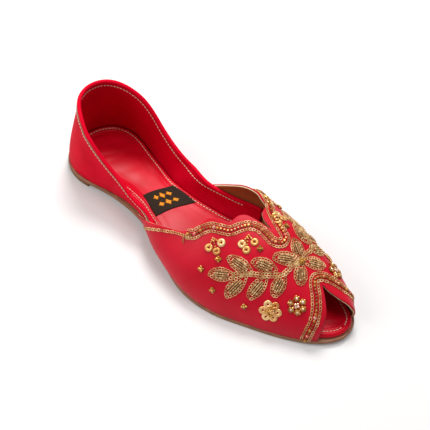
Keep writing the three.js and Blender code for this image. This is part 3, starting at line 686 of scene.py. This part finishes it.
def sheet(layers, skins, bands):
    """Points, faces and parts of a sheet through layers of points. skins are the parts of its first
    and last layer, and bands what shows between each two layers at its cut edge."""
    index = np.arange(layers[0][..., 0].size).reshape(layers[0].shape[:2])
    faces, parts = [], []
    for level, part in zip((0, len(layers) - 1), skins):
        grid = index + level * index.size
        faces.append(np.stack([grid[:-1, :-1], grid[1:, :-1], grid[1:, 1:], grid[:-1, 1:]], -1))
        faces[-1] = faces[-1].reshape(-1, 4)
        parts += [part] * len(faces[-1])
    loop = np.concatenate([index[0, :], index[1:, -1], index[-1, -2::-1], index[-2:0:-1, 0]])
    for level, part in enumerate(bands):
        upper, lower = loop + level * index.size, loop + (level + 1) * index.size
        faces.append(np.stack([upper, np.roll(upper, -1), np.roll(lower, -1), lower], -1))
        parts += [part] * len(loop)
    used, faces = np.unique(np.concatenate(faces), return_inverse=True)
    return np.concatenate([g.reshape(-1, 3) for g in layers])[used], faces.reshape(-1, 4), parts


VAMP_RIBS, VAMP_COLUMNS = 256, 80
rib = np.linspace(0, 64, VAMP_RIBS + 1)[:, None]
forward = np.linspace(0, 1, VAMP_COLUMNS + 1)[None, :]
throat_at, throat_around = (curve(throat, c, "rib")(rib) for c in ("at", "around"))
toe_at, toe_around = (curve(toe_opening, c, "rib")(rib) for c in ("at", "around"))
rib_x = SOLE_LENGTH * (throat_at + (toe_at - throat_at) * forward)
rib_around = throat_around + (toe_around - throat_around) * forward
# Depths of the wall's faces and lines, and what shows between each two of them at a cut edge:
# 0 red skin, 1 glue line, 2 flesh side, 3 lining.
edge_depths = [0.0, 0.12, 0.75, 0.9, 1.48, 1.6]
edge_parts = [0, 0, 1, 2, 2]
layers = [vamp_at(rib_x, rib_around, -np.full_like(rib_x, depth)) for depth in edge_depths]
points, faces, parts = sheet(layers, (0, 3), edge_parts)
velvet_leather = red_leather("velvety_red_goat_leather", "#b6021e", "#c60826", 0.42, 0.16, 0.0, 0.8,
                             sheen=0.05)
# Cut edges and the bare lining: raw split leather, dull, with fibres every 1.1 mm.
glue_line, flesh_edge, tan_lining = (
    mottled(name, dark, light, 900.0, 3.0, {"Roughness": roughness}, 0.3)
    for name, dark, light, roughness in (("dark_glue_line", "#2b0a08", "#4a1510", 0.7),
                                         ("pale_flesh_edge", "#b89a72", "#e0c8a0", 0.85),
                                         ("tan_lining_leather", "#8a4a22", "#a8672f", 0.6)))
vamp_leathers = [velvet_leather, glue_line, flesh_edge, tan_lining]
carried(piece("vamp_leather", points, faces, vamp_leathers, parts), "vamp_leather", "vamp")

# Quarter
# Back of the upper: smooth red leather inside and out, rolled over a cord along the top. The
# binding's raw edge shows as a thin tan-brown strip under the roll outside, and its two front ends
# lie inside the vamp's wings.
BACK_HEIGHT, HEEL_LEAN, HEEL_SWELL, BEAD_RADIUS, QUARTER_FRONT = 64.4, 6.0, 2.0, 1.5, 146.0
WING_STARTS, WING_REACH, WALL_ROWS = (82.0, 90.0), 34.0, 18
top_line = table("at lean spread aside height", """
    0.000 0.92 0.83 -0.020 1.000
    0.036 1.00 0.81 -0.020 0.970
    0.124 0.67 0.94 -0.020 0.828
    0.240 0.00 1.19 -0.010 0.585
    0.360 0.00 1.32  0.000 0.435
    0.480 0.00 1.03  0.000 0.391
    0.600 0.00 0.84  0.000 0.377""")
lean, spread, aside, tallness = (curve(top_line, c) for c in ("lean", "spread", "aside", "height"))


def quarter_face(walk, up):
    """Outer face of the quarter: its own shape round the heel, the vamp's shape inside the wings."""
    walk, up = np.broadcast_arrays(np.asarray(walk, float), np.asarray(up, float))
    point, outward = edge_walk(walk, QUARTER_FRONT)
    x, side = point[..., 0], np.where(walk > 0, 1, -1)
    foot = point - outward * UPPER_INSET
    low = np.stack([foot[..., 0], foot[..., 1], upper_foot(x)], -1)
    top_y = middle(x) + BALL_WIDTH * aside(share(x)) + np.sign(walk) * half_width(x) * spread(share(x))
    top_z = BACK_HEIGHT * tallness(share(x))
    top = np.stack([x + HEEL_LEAN * lean(share(x)), top_y, top_z], -1)
    own = low + (top - low) * up[..., None]
    swell = HEEL_SWELL * 4 * up * (1 - up) ** 2
    own[..., :2] += outward * swell[..., None]
    wing = np.where(side > 0, WING_STARTS[1], WING_STARTS[0])
    cover = np.minimum((x - wing) / WING_REACH + 0.2, 1)
    tucked = 1 - ease((up - cover) / 0.9)
    z = upper_foot(x) + (top_z - upper_foot(x)) * up
    reach = np.maximum(x, vamp_sections["at"][0] * SOLE_LENGTH - WING_REACH)
    square = np.where(side > 0, section["inner_square"](share(reach)),
                      section["outer_square"](share(reach)))
    rise = np.clip((z - upper_foot(reach)) / (INSTEP_HEIGHT * section["crown"](share(reach))), 0, 1)
    around = (np.arcsin(rise ** (square / 2)) / (np.pi / 2)) ** (1 / AROUND_EASE)
    around = np.where(side > 0, 2 - around, around)
    nested = vamp_face(reach, around) - vamp_out(reach, around) * (VAMP_WALL + SEAM_GAP)
    nested[..., 0] += x - reach
    return own + (nested - own) * tucked[..., None]


def quarter_out(walk, up):
    """Direction up the quarter's wall and direction out of it."""
    rising = quarter_face(walk, np.minimum(up + 1e-3, 1)) - quarter_face(walk, np.maximum(up - 1e-3, 0))
    along = quarter_face(np.minimum(walk + 1e-3, 1), up) - quarter_face(np.maximum(walk - 1e-3, -1), up)
    rising = direction(rising)
    return rising, direction(-np.cross(direction(along), rising))


def wall_height(walk):
    """Height of the quarter's top edge over the upper's foot."""
    foot = upper_foot(edge_walk(walk, QUARTER_FRONT)[0][..., 0])
    return quarter_face(walk, np.ones_like(walk))[..., 2] - foot


def quarter_at(walk, below, out_by):
    """Points at distances below the top edge, that far out of the outer face."""
    up = np.clip(1 - below / wall_height(walk), 0, 1)
    rising, out = quarter_out(walk, up)
    return quarter_face(walk, up) + out * out_by, out


strip_top, STRIP_WIDTH, STRIP_WIDER, INNER_ROW_BELOW = 2 * BEAD_RADIUS, 0.8, 1.3, 2.0


def strip_foot(walk):
    """Lower border of the binding's strip, which is widest round the heel."""
    return strip_top + STRIP_WIDTH + STRIP_WIDER * np.clip(1.6 - 2.2 * np.abs(walk), 0, 1)


walks = np.linspace(-1, 1, 281)
one, tall, down = np.ones_like(walks), wall_height(walks), np.arange(WALL_ROWS + 1) / WALL_ROWS
strip = strip_foot(walks)
rings = [quarter_at(walks, below, out_by)[0] for below, out_by in (
    *((tall - (tall - strip) * i, 0) for i in down),
    (strip - 0.1, 0.3), (strip - 0.35, 0.42), (strip_top * one, 0.3))]
rising, out = quarter_out(walks, one)
x = edge_walk(walks, QUARTER_FRONT)[0][..., 0]
wing = np.where(walks > 0, WING_STARTS[1], WING_STARTS[0])
tuck = ease((x - wing) / WING_REACH)[:, None]
centre = (quarter_face(walks, one) - out * (QUARTER_WALL / 2 + (BEAD_RADIUS - QUARTER_WALL / 2) * tuck)
          - rising * BEAD_RADIUS)
rings += [centre + BEAD_RADIUS * (np.cos(angle) * out + np.sin(angle) * rising)
          for angle in np.radians(np.linspace(-48, 228, 16))]
rings += [quarter_at(walks, strip_top + (tall - strip_top) * i, -QUARTER_WALL)[0] for i in down]
size, steps = len(walks), len(rings)
faces = [(r * size + i, r * size + i + 1, (r + 1) % steps * size + i + 1, (r + 1) % steps * size + i)
         for r in range(steps) for i in range(size - 1)]
# The binding is the wall's last row and the strip's three rows. The rest is red.
parts = [int(WALL_ROWS <= r <= WALL_ROWS + 3) for r in range(steps) for i in range(size - 1)]
for end in (0, size - 1):
    fronts = [tuple(r * size + end for r in (k, k + 1, steps - 2 - k, steps - 1 - k))
              for k in range(steps // 2 - 1)]
    fronts.append(tuple(r * size + end for r in range(steps // 2 - 1, steps // 2 + 2)))
    faces += fronts
    parts += [0] * len(fronts)
smooth_leather = red_leather("smooth_red_leather", "#c4001e", "#d60628", 0.55, 0.03, 0.0, 0.9)
raw_binding = mottled("raw_binding_edge", "#6a3828", "#a47a5c", 700.0, 3.0, {"Roughness": 0.8})
carried(piece("quarter_leather", np.concatenate(rings), faces, [smooth_leather, raw_binding], parts),
        "quarter_leather", "quarter")
stitched = np.linspace(-0.93, 0.93, 400)
outer_row = quarter_at(stitched, strip_foot(stitched) - 0.25, 0.4)
inner_row = quarter_at(stitched, strip_top + INNER_ROW_BELOW, -QUARTER_WALL)
carried(along_rows("quarter_stitches", [outer_row, (inner_row[0], -inner_row[1])], stitch,
                   STITCH_PITCH, cream_thread, 0.06, 0.05, 2), "quarter_leather")

# Sock label
# A woven damask label glued across the waist of the footbed. The weave is dark brown and it
# carries two plain rows of lozenges in amber satin stitch.
LABEL_THICKNESS, LABEL_BOW, LABEL_SEAT, LABEL_ACROSS, LABEL_FORWARD = 0.5, 1.8, 3.25, 28, 20
corners = np.array([(74.6, -11.4), (83.5, 10.2), (105.1, 12.0), (94.7, -18.3)])


def on_label(forward, across, up):
    """Point of the label: forward from its back edge to its front edge, across to the inner side."""
    back_edge = corners[0] + (corners[1] - corners[0]) * across
    front_edge = corners[3] + (corners[2] - corners[3]) * across
    x, y = back_edge + (front_edge - back_edge) * forward
    x -= LABEL_BOW * 4 * across * (1 - across)
    outer_end, inner_end, span = sock_span(x)
    t = (y - middle(x) + half_width(x) - footbed_inset(x) - outer_end) / span
    climb = curl(x, -1, outer_end) * (1 - t) + curl(x, 1, inner_end) * t
    return (x, y, float(upper_foot(x) + LABEL_SEAT + climb) + sock_bow(x, y, t) + up)


label_faces = [np.array([[on_label(inset + (1 - 2 * inset) * i / LABEL_FORWARD,
                                   inset + (1 - 2 * inset) * k / LABEL_ACROSS, up)
                          for k in range(LABEL_ACROSS + 1)] for i in range(LABEL_FORWARD + 1)])
               for up, inset in ((0.0, 0.0), (LABEL_THICKNESS, 0.008))]


def woven(name, dark, light, scale, distortion, ways, values, relief=0.0):
    """Thread laid in ribs one way or two, darker between them."""
    made, tree, output = new_material(name)
    where = add(tree, "ShaderNodeTexCoord").outputs["Object"]
    ribs = [add(tree, "ShaderNodeTexWave", {"Scale": scale, "Distortion": distortion}, {"Vector": where},
                wave_type="BANDS", bands_direction=way).outputs["Fac"] for way in ways]
    weave = ribs[0] if len(ribs) == 1 else add(
        tree, "ShaderNodeMath", links={0: ribs[0], 1: ribs[1]}, operation="MAXIMUM").outputs[0]
    tones = add(tree, "ShaderNodeMix", {6: colour(dark), 7: colour(light)}, {0: weave}, data_type="RGBA")
    links = {"Base Color": tones.outputs[2]}
    if relief:
        bump = add(tree, "ShaderNodeBump", {"Strength": relief, "Distance": 0.0001}, {"Height": weave})
        links["Normal"] = bump.outputs[0]
    shader = add(tree, "ShaderNodeBsdfPrincipled", values, links)
    tree.links.new(shader.outputs[0], output.inputs[0])
    return made


# Polyester damask: fine ribs 0.4 mm apart, matt, dark brown.
label_cloth = woven("dark_damask_label", "#1c1511", "#352a22", 390.0, 0.6, "XY",
                    {"Roughness": 0.9, "Specular IOR Level": 0.1}, 0.5)
carried(piece("woven_label", *sheet(label_faces, (0, 0), [0])[:2], [label_cloth]), "label_cloth",
        "sock_label")

# Satin stitch: strands laid side by side, every 0.4 mm.
amber_thread = woven("amber_satin_thread", "#b06604", "#f09a0c", 420.0, 1.0, "X",
                     {"Roughness": 0.5, "Specular IOR Level": 0.2})
LOZENGE_HALF = 0.085
lozenge = [(-1, 0), (-0.45, 0.45), (0, 1), (0.45, 0.45), (1, 0), (0.45, -0.45), (0, -1), (-0.45, -0.45)]
points, faces = [], []
for forward_by, sizes in ((0.33, (0.12, 0.16, 0.12)), (0.68, (0.11, 0.15, 0.11))):
    for k, reach in enumerate(sizes):
        start = len(points)
        points += [on_label(forward_by + df * reach * grow, 0.31 + 0.19 * k + da * LOZENGE_HALF * grow,
                            LABEL_THICKNESS + up)
                   for up, grow in ((0.0, 1.0), (0.25, 1.0), (0.4, 0.6)) for df, da in lozenge]
        for level in (0, 8):
            faces += [(start + level + i, start + level + (i + 1) % 8,
                       start + level + 8 + (i + 1) % 8, start + level + 8 + i) for i in range(8)]
        faces += [tuple(range(start + 7, start - 1, -1)), tuple(range(start + 16, start + 24))]
carried(piece("label_lozenges", points, faces, [amber_thread]), "gold_thread")

# Braids
# Two rows of chain stitch in gilt thread with seed beads set between them, couched along the
# throat and along the toe opening. From the throat one chain row runs on along each wing.
CHAIN_ASIDE, CHAIN_PITCH, CHAIN_LIFT, BEAD_PITCH, BEAD_LIFT = 2.7, 1.95, 0.15, 2.4, 0.85
MIRROR_AROUND, FLOW_STEP, FLOW_GIRTH = 0.965, 0.6, 75.0


def flow(rows):
    """Evenly spaced places along a smooth line through a table's rows of at and around."""
    x, around = rows["at"] * SOLE_LENGTH, rows["around"]
    way = np.concatenate([[0], np.cumsum(np.hypot(np.diff(x), np.diff(around) * FLOW_GIRTH))])
    line = {"way": way, "x": x, "around": around}
    spots = np.linspace(0, way[-1], max(int(way[-1] / FLOW_STEP), 2) + 1)
    return curve(line, "x", "way", True)(spots), curve(line, "around", "way", True)(spots)


def beside(x, around, along, across, heading=None):
    """Places moved by millimetres along and across the line's own course, or a given heading."""
    base = vamp_face(x, around)
    per_x = (vamp_face(x + 1e-3, around) - base) / 1e-3
    per_around = (vamp_face(x, around + 1e-3) - base) / 1e-3
    out = direction(np.cross(per_x, per_around))
    if heading is None:
        course = np.gradient(base, axis=0)
    else:
        course = per_x * heading[0] + per_around * heading[1]
    course = direction(course - out * (course * out).sum(-1, keepdims=True))
    move = course * np.reshape(along, (-1, 1)) + np.cross(out, course) * np.reshape(across, (-1, 1))
    xx, xa, aa = ((a * b).sum(-1) for a, b in (
        (per_x, per_x), (per_x, per_around), (per_around, per_around)))
    mx, ma = (move * per_x).sum(-1), (move * per_around).sum(-1)
    fall = xx * aa - xa * xa
    return x + (aa * mx - xa * ma) / fall, np.clip(around + (xx * ma - xa * mx) / fall, 0.01, 1.99)


def raised(x, around, up):
    """Row for along_rows, at a height over the vamp."""
    return vamp_at(x, around, np.broadcast_to(up, np.shape(x))), vamp_out(x, around)


def mirrored(around):
    """Place on the inner half that answers one on the outer half."""
    return 2 * MIRROR_AROUND - around


def toned_metal(name, tones_at, roughness, metallic, bump, scale):
    """Metal-covered thread or glass bead; each unit takes its own tone from the ramp."""
    made, tree, output = new_material(name)
    tone = add(tree, "ShaderNodeAttribute", attribute_name="tone")
    ramp = add(tree, "ShaderNodeValToRGB", links={"Fac": tone.outputs["Fac"]})
    while len(ramp.color_ramp.elements) < len(tones_at):
        ramp.color_ramp.elements.new(0.5)
    for element, (at, code) in zip(ramp.color_ramp.elements, tones_at):
        element.position, element.color = at, colour(code)
    ply = add(tree, "ShaderNodeTexNoise", {"Scale": scale, "Detail": 1.0},
              {"Vector": add(tree, "ShaderNodeTexCoord").outputs["Object"]})
    relief = add(tree, "ShaderNodeBump", {"Strength": bump, "Distance": 0.0002},
                 {"Height": ply.outputs["Fac"]})
    shader = add(tree, "ShaderNodeBsdfPrincipled", {"Roughness": roughness, "Metallic": metallic},
                 {"Base Color": ramp.outputs["Color"], "Normal": relief.outputs[0]})
    tree.links.new(shader.outputs[0], output.inputs[0])
    return made


gilt_thread = toned_metal("gilt_zari_thread", [(0.0, "#a87c48"), (0.5, "#d0a468"), (1.0, "#f0d098")],
                          0.4, 0.3, 0.35, 2500.0)
braid_glass = toned_metal(
    "mixed_braid_glass", [(0.0, "#7a4418"), (0.45, "#a86a26"), (0.75, "#c88c40"), (0.86, "#d87068"),
                          (1.0, "#e8b09c")], 0.3, 0.4, 0.0, 800.0)
turns = np.linspace(0, 2 * np.pi, 12, endpoint=False)
chain_loop = tube(np.column_stack([
    1.12 * np.cos(turns), 0.78 * np.sin(turns) * (1 - 0.25 * np.cos(turns)),
    0.2 + 0.14 * np.cos(turns)]), 0.22, 5, closed=True)


def turned(profile, sides, around_x=False):
    """Points and faces of a profile of (radius, height) turned round an axis; its ends are flat."""
    points = []
    for radius, along in profile:
        for k in range(sides):
            a = 2 * math.pi * (k + 0.5) / sides
            spot = (radius * math.cos(a), radius * math.sin(a), along)
            points.append((spot[2], spot[0], spot[1]) if around_x else spot)
    faces = [(r * sides + k, r * sides + (k + 1) % sides, (r + 1) * sides + (k + 1) % sides,
              (r + 1) * sides + k) for r in range(len(profile) - 1) for k in range(sides)]
    faces += [tuple(range(sides))[::-1], tuple((len(profile) - 1) * sides + k for k in range(sides))]
    return points, faces


cut_bead = turned([(0.5, -0.95), (0.95, -0.55), (0.95, 0.55), (0.5, 0.95)], 5, around_x=True)
throat_braid = table("at around", """
    0.538 0.573
    0.553 0.610
    0.564 0.680
    0.577 0.735
    0.604 0.775
    0.626 0.807
    0.636 0.858
    0.650 0.915
    0.672 0.943
    0.700 0.936
    0.727 0.930
    0.742 0.970
    0.740 1.010
    0.720 1.042
    0.697 1.068
    0.676 1.095
    0.654 1.130
    0.637 1.185
    0.616 1.240
    0.590 1.310
    0.565 1.390""")
toe_braid = table("at around", """
    0.932 0.060
    0.932 0.380
    0.928 0.583
    0.911 0.755
    0.889 0.863
    0.868 0.935
    0.861 0.985
    0.868 1.035
    0.890 1.103
    0.921 1.228
    0.938 1.380
    0.944 1.600
    0.942 1.900""")
wing_rows = [table("at around", """
    0.547 0.573
    0.534 0.542
    0.518 0.512
    0.504 0.482
    0.481 0.420
    0.460 0.360
    0.427 0.255
    0.413 0.205
    0.399 0.135
    0.387 0.070"""), table("at around", """
    0.565 1.390
    0.525 1.520
    0.489 1.640
    0.462 1.750
    0.432 1.860""")]
for name, line in (("throat", throat_braid), ("toe", toe_braid)):
    x, around = flow(line)
    chains = [raised(*beside(x, around, 0, side * CHAIN_ASIDE), CHAIN_LIFT) for side in (-1, 1)]
    if name == "throat":
        chains += [raised(*flow(row), CHAIN_LIFT) for row in wing_rows]
    carried(along_rows(name + "_chains", chains, chain_loop, CHAIN_PITCH, gilt_thread, 0.14, 0.1, 3),
            "gold_thread", name + "_braid")
    carried(along_rows(name + "_beads", [raised(x, around, BEAD_LIFT)], cut_bead, BEAD_PITCH,
                       braid_glass, 0.7, 0.22, 4, smooth=False), "gold_thread")

# Leaf spray
# Six leaves each side on a chain-stitched stem, and four petals between them. Each is an outline of
# chain stitch round four rows of dabka, a fine gilt wire coil that is cut to length and sewn down.
DABKA_RADIUS, DABKA_PITCH, DABKA_SPACING, DABKA_LIFT = 0.62, 0.92, 1.56, 0.75
LEAF_HALF, PAD_HALF, PAD_REACH, STEM_HALF, STEM_LIFT = 4.0, 2.9, 0.31, 0.85, 0.2
leaves = table("base_x base tip_x tip", """
    175.8 0.550 162.0 0.465
    184.2 0.640 166.2 0.647
    182.5 0.593 179.0 0.365
    194.8 0.768 180.0 0.718
    193.0 0.675 191.8 0.450
    200.5 0.785 203.5 0.588""")
petals = table("base_x base tip_x tip", """
    200.9 0.968 188.0 0.833
    200.3 1.006 188.2 1.065
    203.2 1.008 213.2 1.135
    203.0 0.968 212.0 0.825""")
stem = table("at around", """
    0.804 0.985
    0.801 0.900
    0.798 0.787
    0.766 0.685
    0.731 0.620
    0.702 0.556""")


def leaf_place(leaf, way, across):
    """Places a share of the way from a leaf's base to its tip, and millimetres across it."""
    base_x, base, tip_x, tip = leaf
    course = (tip_x - base_x, tip - base)
    return beside(base_x + course[0] * way, base + course[1] * way, np.zeros_like(way), across, course)


outlines, coils, pad_points, pad_faces = [], [], [], []
pad_turns = np.linspace(0, 2 * np.pi, 20, endpoint=False)
pad_profile = [(0.1, 0.04), (0.6, 0.04), (1.0, 0.04), (0.9, 0.28), (0.5, 0.4), (0.1, 0.42)]
span = np.linspace(0, 1, 15)
half = LEAF_HALF * np.maximum(np.sin(np.pi * (0.04 + 0.92 * span)) ** 0.75, 0.1)
round_way, round_half = np.concatenate([span, span[-2::-1]]), np.concatenate([half, -half[-2::-1]])
for rows, side in ((leaves, float), (leaves, mirrored), (petals, float)):
    for base_x, base, tip_x, tip in zip(*rows.values()):
        leaf = base_x, side(base), tip_x, side(tip)
        outlines.append(raised(*leaf_place(leaf, round_way, round_half), CHAIN_LIFT))
        made_points, made_faces = stack([
            raised(*leaf_place(leaf, 0.5 + PAD_REACH * size * np.cos(pad_turns),
                               PAD_HALF * size * np.sin(pad_turns)), up)[0]
            for size, up in pad_profile])
        pad_faces += [tuple(i + len(pad_points) for i in f) for f in made_faces]
        pad_points += made_points
        for row, reach in ((-1.5, 0.22), (-0.5, 0.31), (0.5, 0.31), (1.5, 0.22)):
            spots = np.linspace(0.5 - reach, 0.5 + reach, 12)
            bowed = row * DABKA_SPACING * np.sin(np.pi * spots) ** 0.5
            coils.append(raised(*leaf_place(leaf, spots, bowed), DABKA_LIFT - 0.08 * abs(row)))
    if rows is leaves:
        x, around = flow({"at": stem["at"], "around": np.array([side(a) for a in stem["around"]])})
        outlines += [raised(*beside(x, around, 0, way * STEM_HALF), STEM_LIFT) for way in (-1, 1)]
carried(along_rows("leaf_outlines", outlines, chain_loop, CHAIN_PITCH, gilt_thread, 0.16, 0.1, 5),
        "gold_thread", "leaf_spray")
# Padding under the coils: matt felt, whose very dark brown is partly its own colour and partly painted
# shade where it shows between the coils.
felt_and_shade = mottled("dark_felt_and_painted_shade", "#26120a", "#4c2a14", 1500.0, 2.0, {"Roughness": 0.95})
carried(piece("leaf_padding", pad_points, pad_faces, [felt_and_shade]), "gold_thread")
dabka = toned_metal("antique_dabka_wire", [(0.0, "#a06c3c"), (0.6, "#c89460"), (1.0, "#e8c490")],
                    0.38, 0.25, 0.0, 2500.0)
dabka_ring = turned([(0.38, -0.42), (DABKA_RADIUS, -0.2), (DABKA_RADIUS, 0.2), (0.38, 0.42)], 8,
                    around_x=True)
carried(along_rows("leaf_dabka", coils, dabka_ring, DABKA_PITCH, dabka, 0.05, 0.04, 6), "gold_thread")

# Sequins and seed beads
# Cupped gilt sequins sewn down through their holes: six in each large flower and three in each
# trefoil. Seed beads fill the flowers' middles, make the bead flowers and the small crosses.
SEQUIN_SIDES, SEQUIN_LIFT = 20, 0.25
FLOWER_RING, BEAD_RING, CLUSTER_RING, CROSS_RING = 5.0, 4.6, 1.35, 1.3
FLOWER_SPOT, BEAD_FLOWER_SPOT, CENTRE_SPOT = (207.0, 0.438), (218.2, 0.635), (202.0, 0.992)
sequin_profile = [(0.7, 0.1), (0.7, 0.26), (1.7, 0.4), (2.75, 0.3), (2.75, 0.12), (1.7, 0.2)]
sequin_turns = [2 * math.pi * k / SEQUIN_SIDES for k in range(SEQUIN_SIDES)]
sequin = ([(r * math.cos(a), r * math.sin(a), z) for r, z in sequin_profile for a in sequin_turns],
          [(r * SEQUIN_SIDES + k, r * SEQUIN_SIDES + (k + 1) % SEQUIN_SIDES,
            (r + 1) % 6 * SEQUIN_SIDES + (k + 1) % SEQUIN_SIDES, (r + 1) % 6 * SEQUIN_SIDES + k)
           for r in range(6) for k in range(SEQUIN_SIDES)])
seed_bead = turned([(0.45, -0.68), (0.9, -0.3), (0.9, 0.3), (0.45, 0.68)], 7)
grain = turned([(0.3, -0.45), (0.6, -0.2), (0.6, 0.2), (0.3, 0.45)], 6)
sequin_gilt = toned_metal("gilt_sequin_foil", [(0.0, "#d08c48"), (0.5, "#e6a860"), (1.0, "#f6cc90")],
                          0.3, 0.55, 0.05, 700.0)
amber_glass = toned_metal("amber_glass", [(0.0, "#6e4214"), (0.5, "#a06a20"), (1.0, "#cc9640")],
                          0.2, 0.4, 0.0, 800.0)
# Pale rose-lined glass: real beads in the bead flowers' middles, and the pale tone of the bead on each
# cluster's middle, which is a painted highlight.
rose_and_highlight_glass = toned_metal("rose_glass_and_painted_highlights", [(0.0, "#b87830"), (0.45, "#d8a468"), (0.8, "#e4b8a0"),
                                              (1.0, "#eed6c4")], 0.25, 0.4, 0.0, 800.0)
fine_gold = toned_metal("fine_gilt_beads", [(0.0, "#9c5c18"), (0.5, "#d89438"), (0.85, "#f2c470"),
                                            (1.0, "#f0a888")], 0.25, 0.4, 0.0, 800.0)


def spots_round(x, around, radius, count, first=0.0):
    """Places on a circle over the vamp round one place."""
    angles = first + np.arange(count) * 2 * np.pi / count
    base_x, base = np.full(count, float(x)), np.full(count, float(around))
    return beside(base_x, base, radius * np.cos(angles), radius * np.sin(angles), (1.0, 0.0))


def pairs(x, around, up):
    """Very short rows, so that one unit stands at each place."""
    rows = []
    for px, pa in zip(np.atleast_1d(x), np.atleast_1d(around)):
        ends_x, ends_around = beside(np.array([px, px]), np.array([pa, pa]), np.array([-0.01, 0.01]),
                                     np.zeros(2), (1.0, 0.3))
        rows.append(raised(ends_x, ends_around, up))
    return rows


trefoils = [((152.2, 0.615), (156.8, 0.698), (157.8, 0.630), (150.5, 0.688)),
            ((167.8, 0.775), (173.0, 0.838), (172.5, 0.758), (167.0, 0.853))]
crosses = [(161.8, 0.593), (178.5, 0.820), (156.0, 0.455), (169.5, 0.352), (191.8, 0.352)]
for label, side in (("outer", float), ("inner", mirrored)):
    flower, bead_flower = ((x, side(around)) for x, around in (FLOWER_SPOT, BEAD_FLOWER_SPOT))
    flower_sequins = pairs(*spots_round(*flower, FLOWER_RING, 6, 0.3), SEQUIN_LIFT)
    carried(along_rows(f"flower_sequins_{label}", flower_sequins, sequin, 1.0, sequin_gilt,
                       0.3, 0.03, 7), "gold_thread", f"sequin_flower_{label}")
    clusters, sequins, amber, rose_and_highlight, grains = [], [], [], [], []
    for x, around in zip(*spots_round(*bead_flower, BEAD_RING, 6, 0.1)):
        clusters += pairs(*spots_round(x, around, CLUSTER_RING, 5), 0.75)
        # The bead on the cluster's middle is real; its pale tone is a painted highlight.
        rose_and_highlight += pairs(x, around, 1.25)
    carried(along_rows(f"bead_flower_{label}_beads", clusters, seed_bead, 1.0, amber_glass,
                       3.0, 0.08, 8, smooth=False), "gold_thread", f"bead_flower_{label}")
    for *leaflets, tip in trefoils:
        for x, around in leaflets:
            sequins += pairs(x, side(around), SEQUIN_LIFT)
            for t in (0.0, 0.22, 0.44, 0.66, 0.88):
                grains += pairs(tip[0] + (x - tip[0]) * t, side(tip[1] + (around - tip[1]) * t), 0.8)
    for x, around in crosses:
        amber += pairs(*spots_round(x, side(around), CROSS_RING, 4, 0.6), 0.7)
        grains += pairs(x, side(around), 1.3)
    for radius, count, up in ((0.05, 1, 1.3), (1.2, 6, 1.15), (2.3, 11, 1.0), (3.4, 12, 0.75)):
        grains += pairs(*spots_round(*flower, radius, count, 0.3), up)
    rose_and_highlight += pairs(*spots_round(*bead_flower, 1.2, 4), 0.8)
    if label == "outer":
        amber += pairs(*spots_round(*CENTRE_SPOT, CROSS_RING, 5), 0.95) + pairs(*CENTRE_SPOT, 1.8)
    for name, places, unit, finish, tilt, spread, seed in (
            ("trefoil_sequins", sequins, sequin, sequin_gilt, 0.4, 0.04, 9),
            ("amber_beads", amber, seed_bead, amber_glass, 3.0, 0.1, 10),
            ("rose_beads", rose_and_highlight, seed_bead, rose_and_highlight_glass, 3.0, 0.1, 11),
            ("fine_beads", grains, grain, fine_gold, 3.0, 0.12, 12)):
        carried(along_rows(f"{name}_{label}", places, unit, 1.0, finish, tilt, spread, seed,
                           smooth=unit is sequin), "gold_thread")

# Loose tails
# Three ends of the gilt thread at the point where the braid meets the wing's single row.
TAIL_ROOT, TAIL_RADIUS = (132.3, 0.540), 0.17
points, faces = [], []
for tip_x, tip_around in ((134.5, 0.487), (136.0, 0.528), (136.2, 0.492)):
    way = np.linspace(0, 1, 8)
    x = TAIL_ROOT[0] + (tip_x - TAIL_ROOT[0]) * way
    around = TAIL_ROOT[1] + (tip_around - TAIL_ROOT[1]) * way
    tail = vamp_at(x, around, 0.35 + 0.5 * np.sin(np.pi * way))
    tail_points, tail_faces = tube(tail, TAIL_RADIUS)
    faces += [tuple(i + len(points) for i in f) for f in tail_faces]
    points += tail_points
carried(piece("thread_tails", points, faces, [gilt_thread]), "gold_thread")
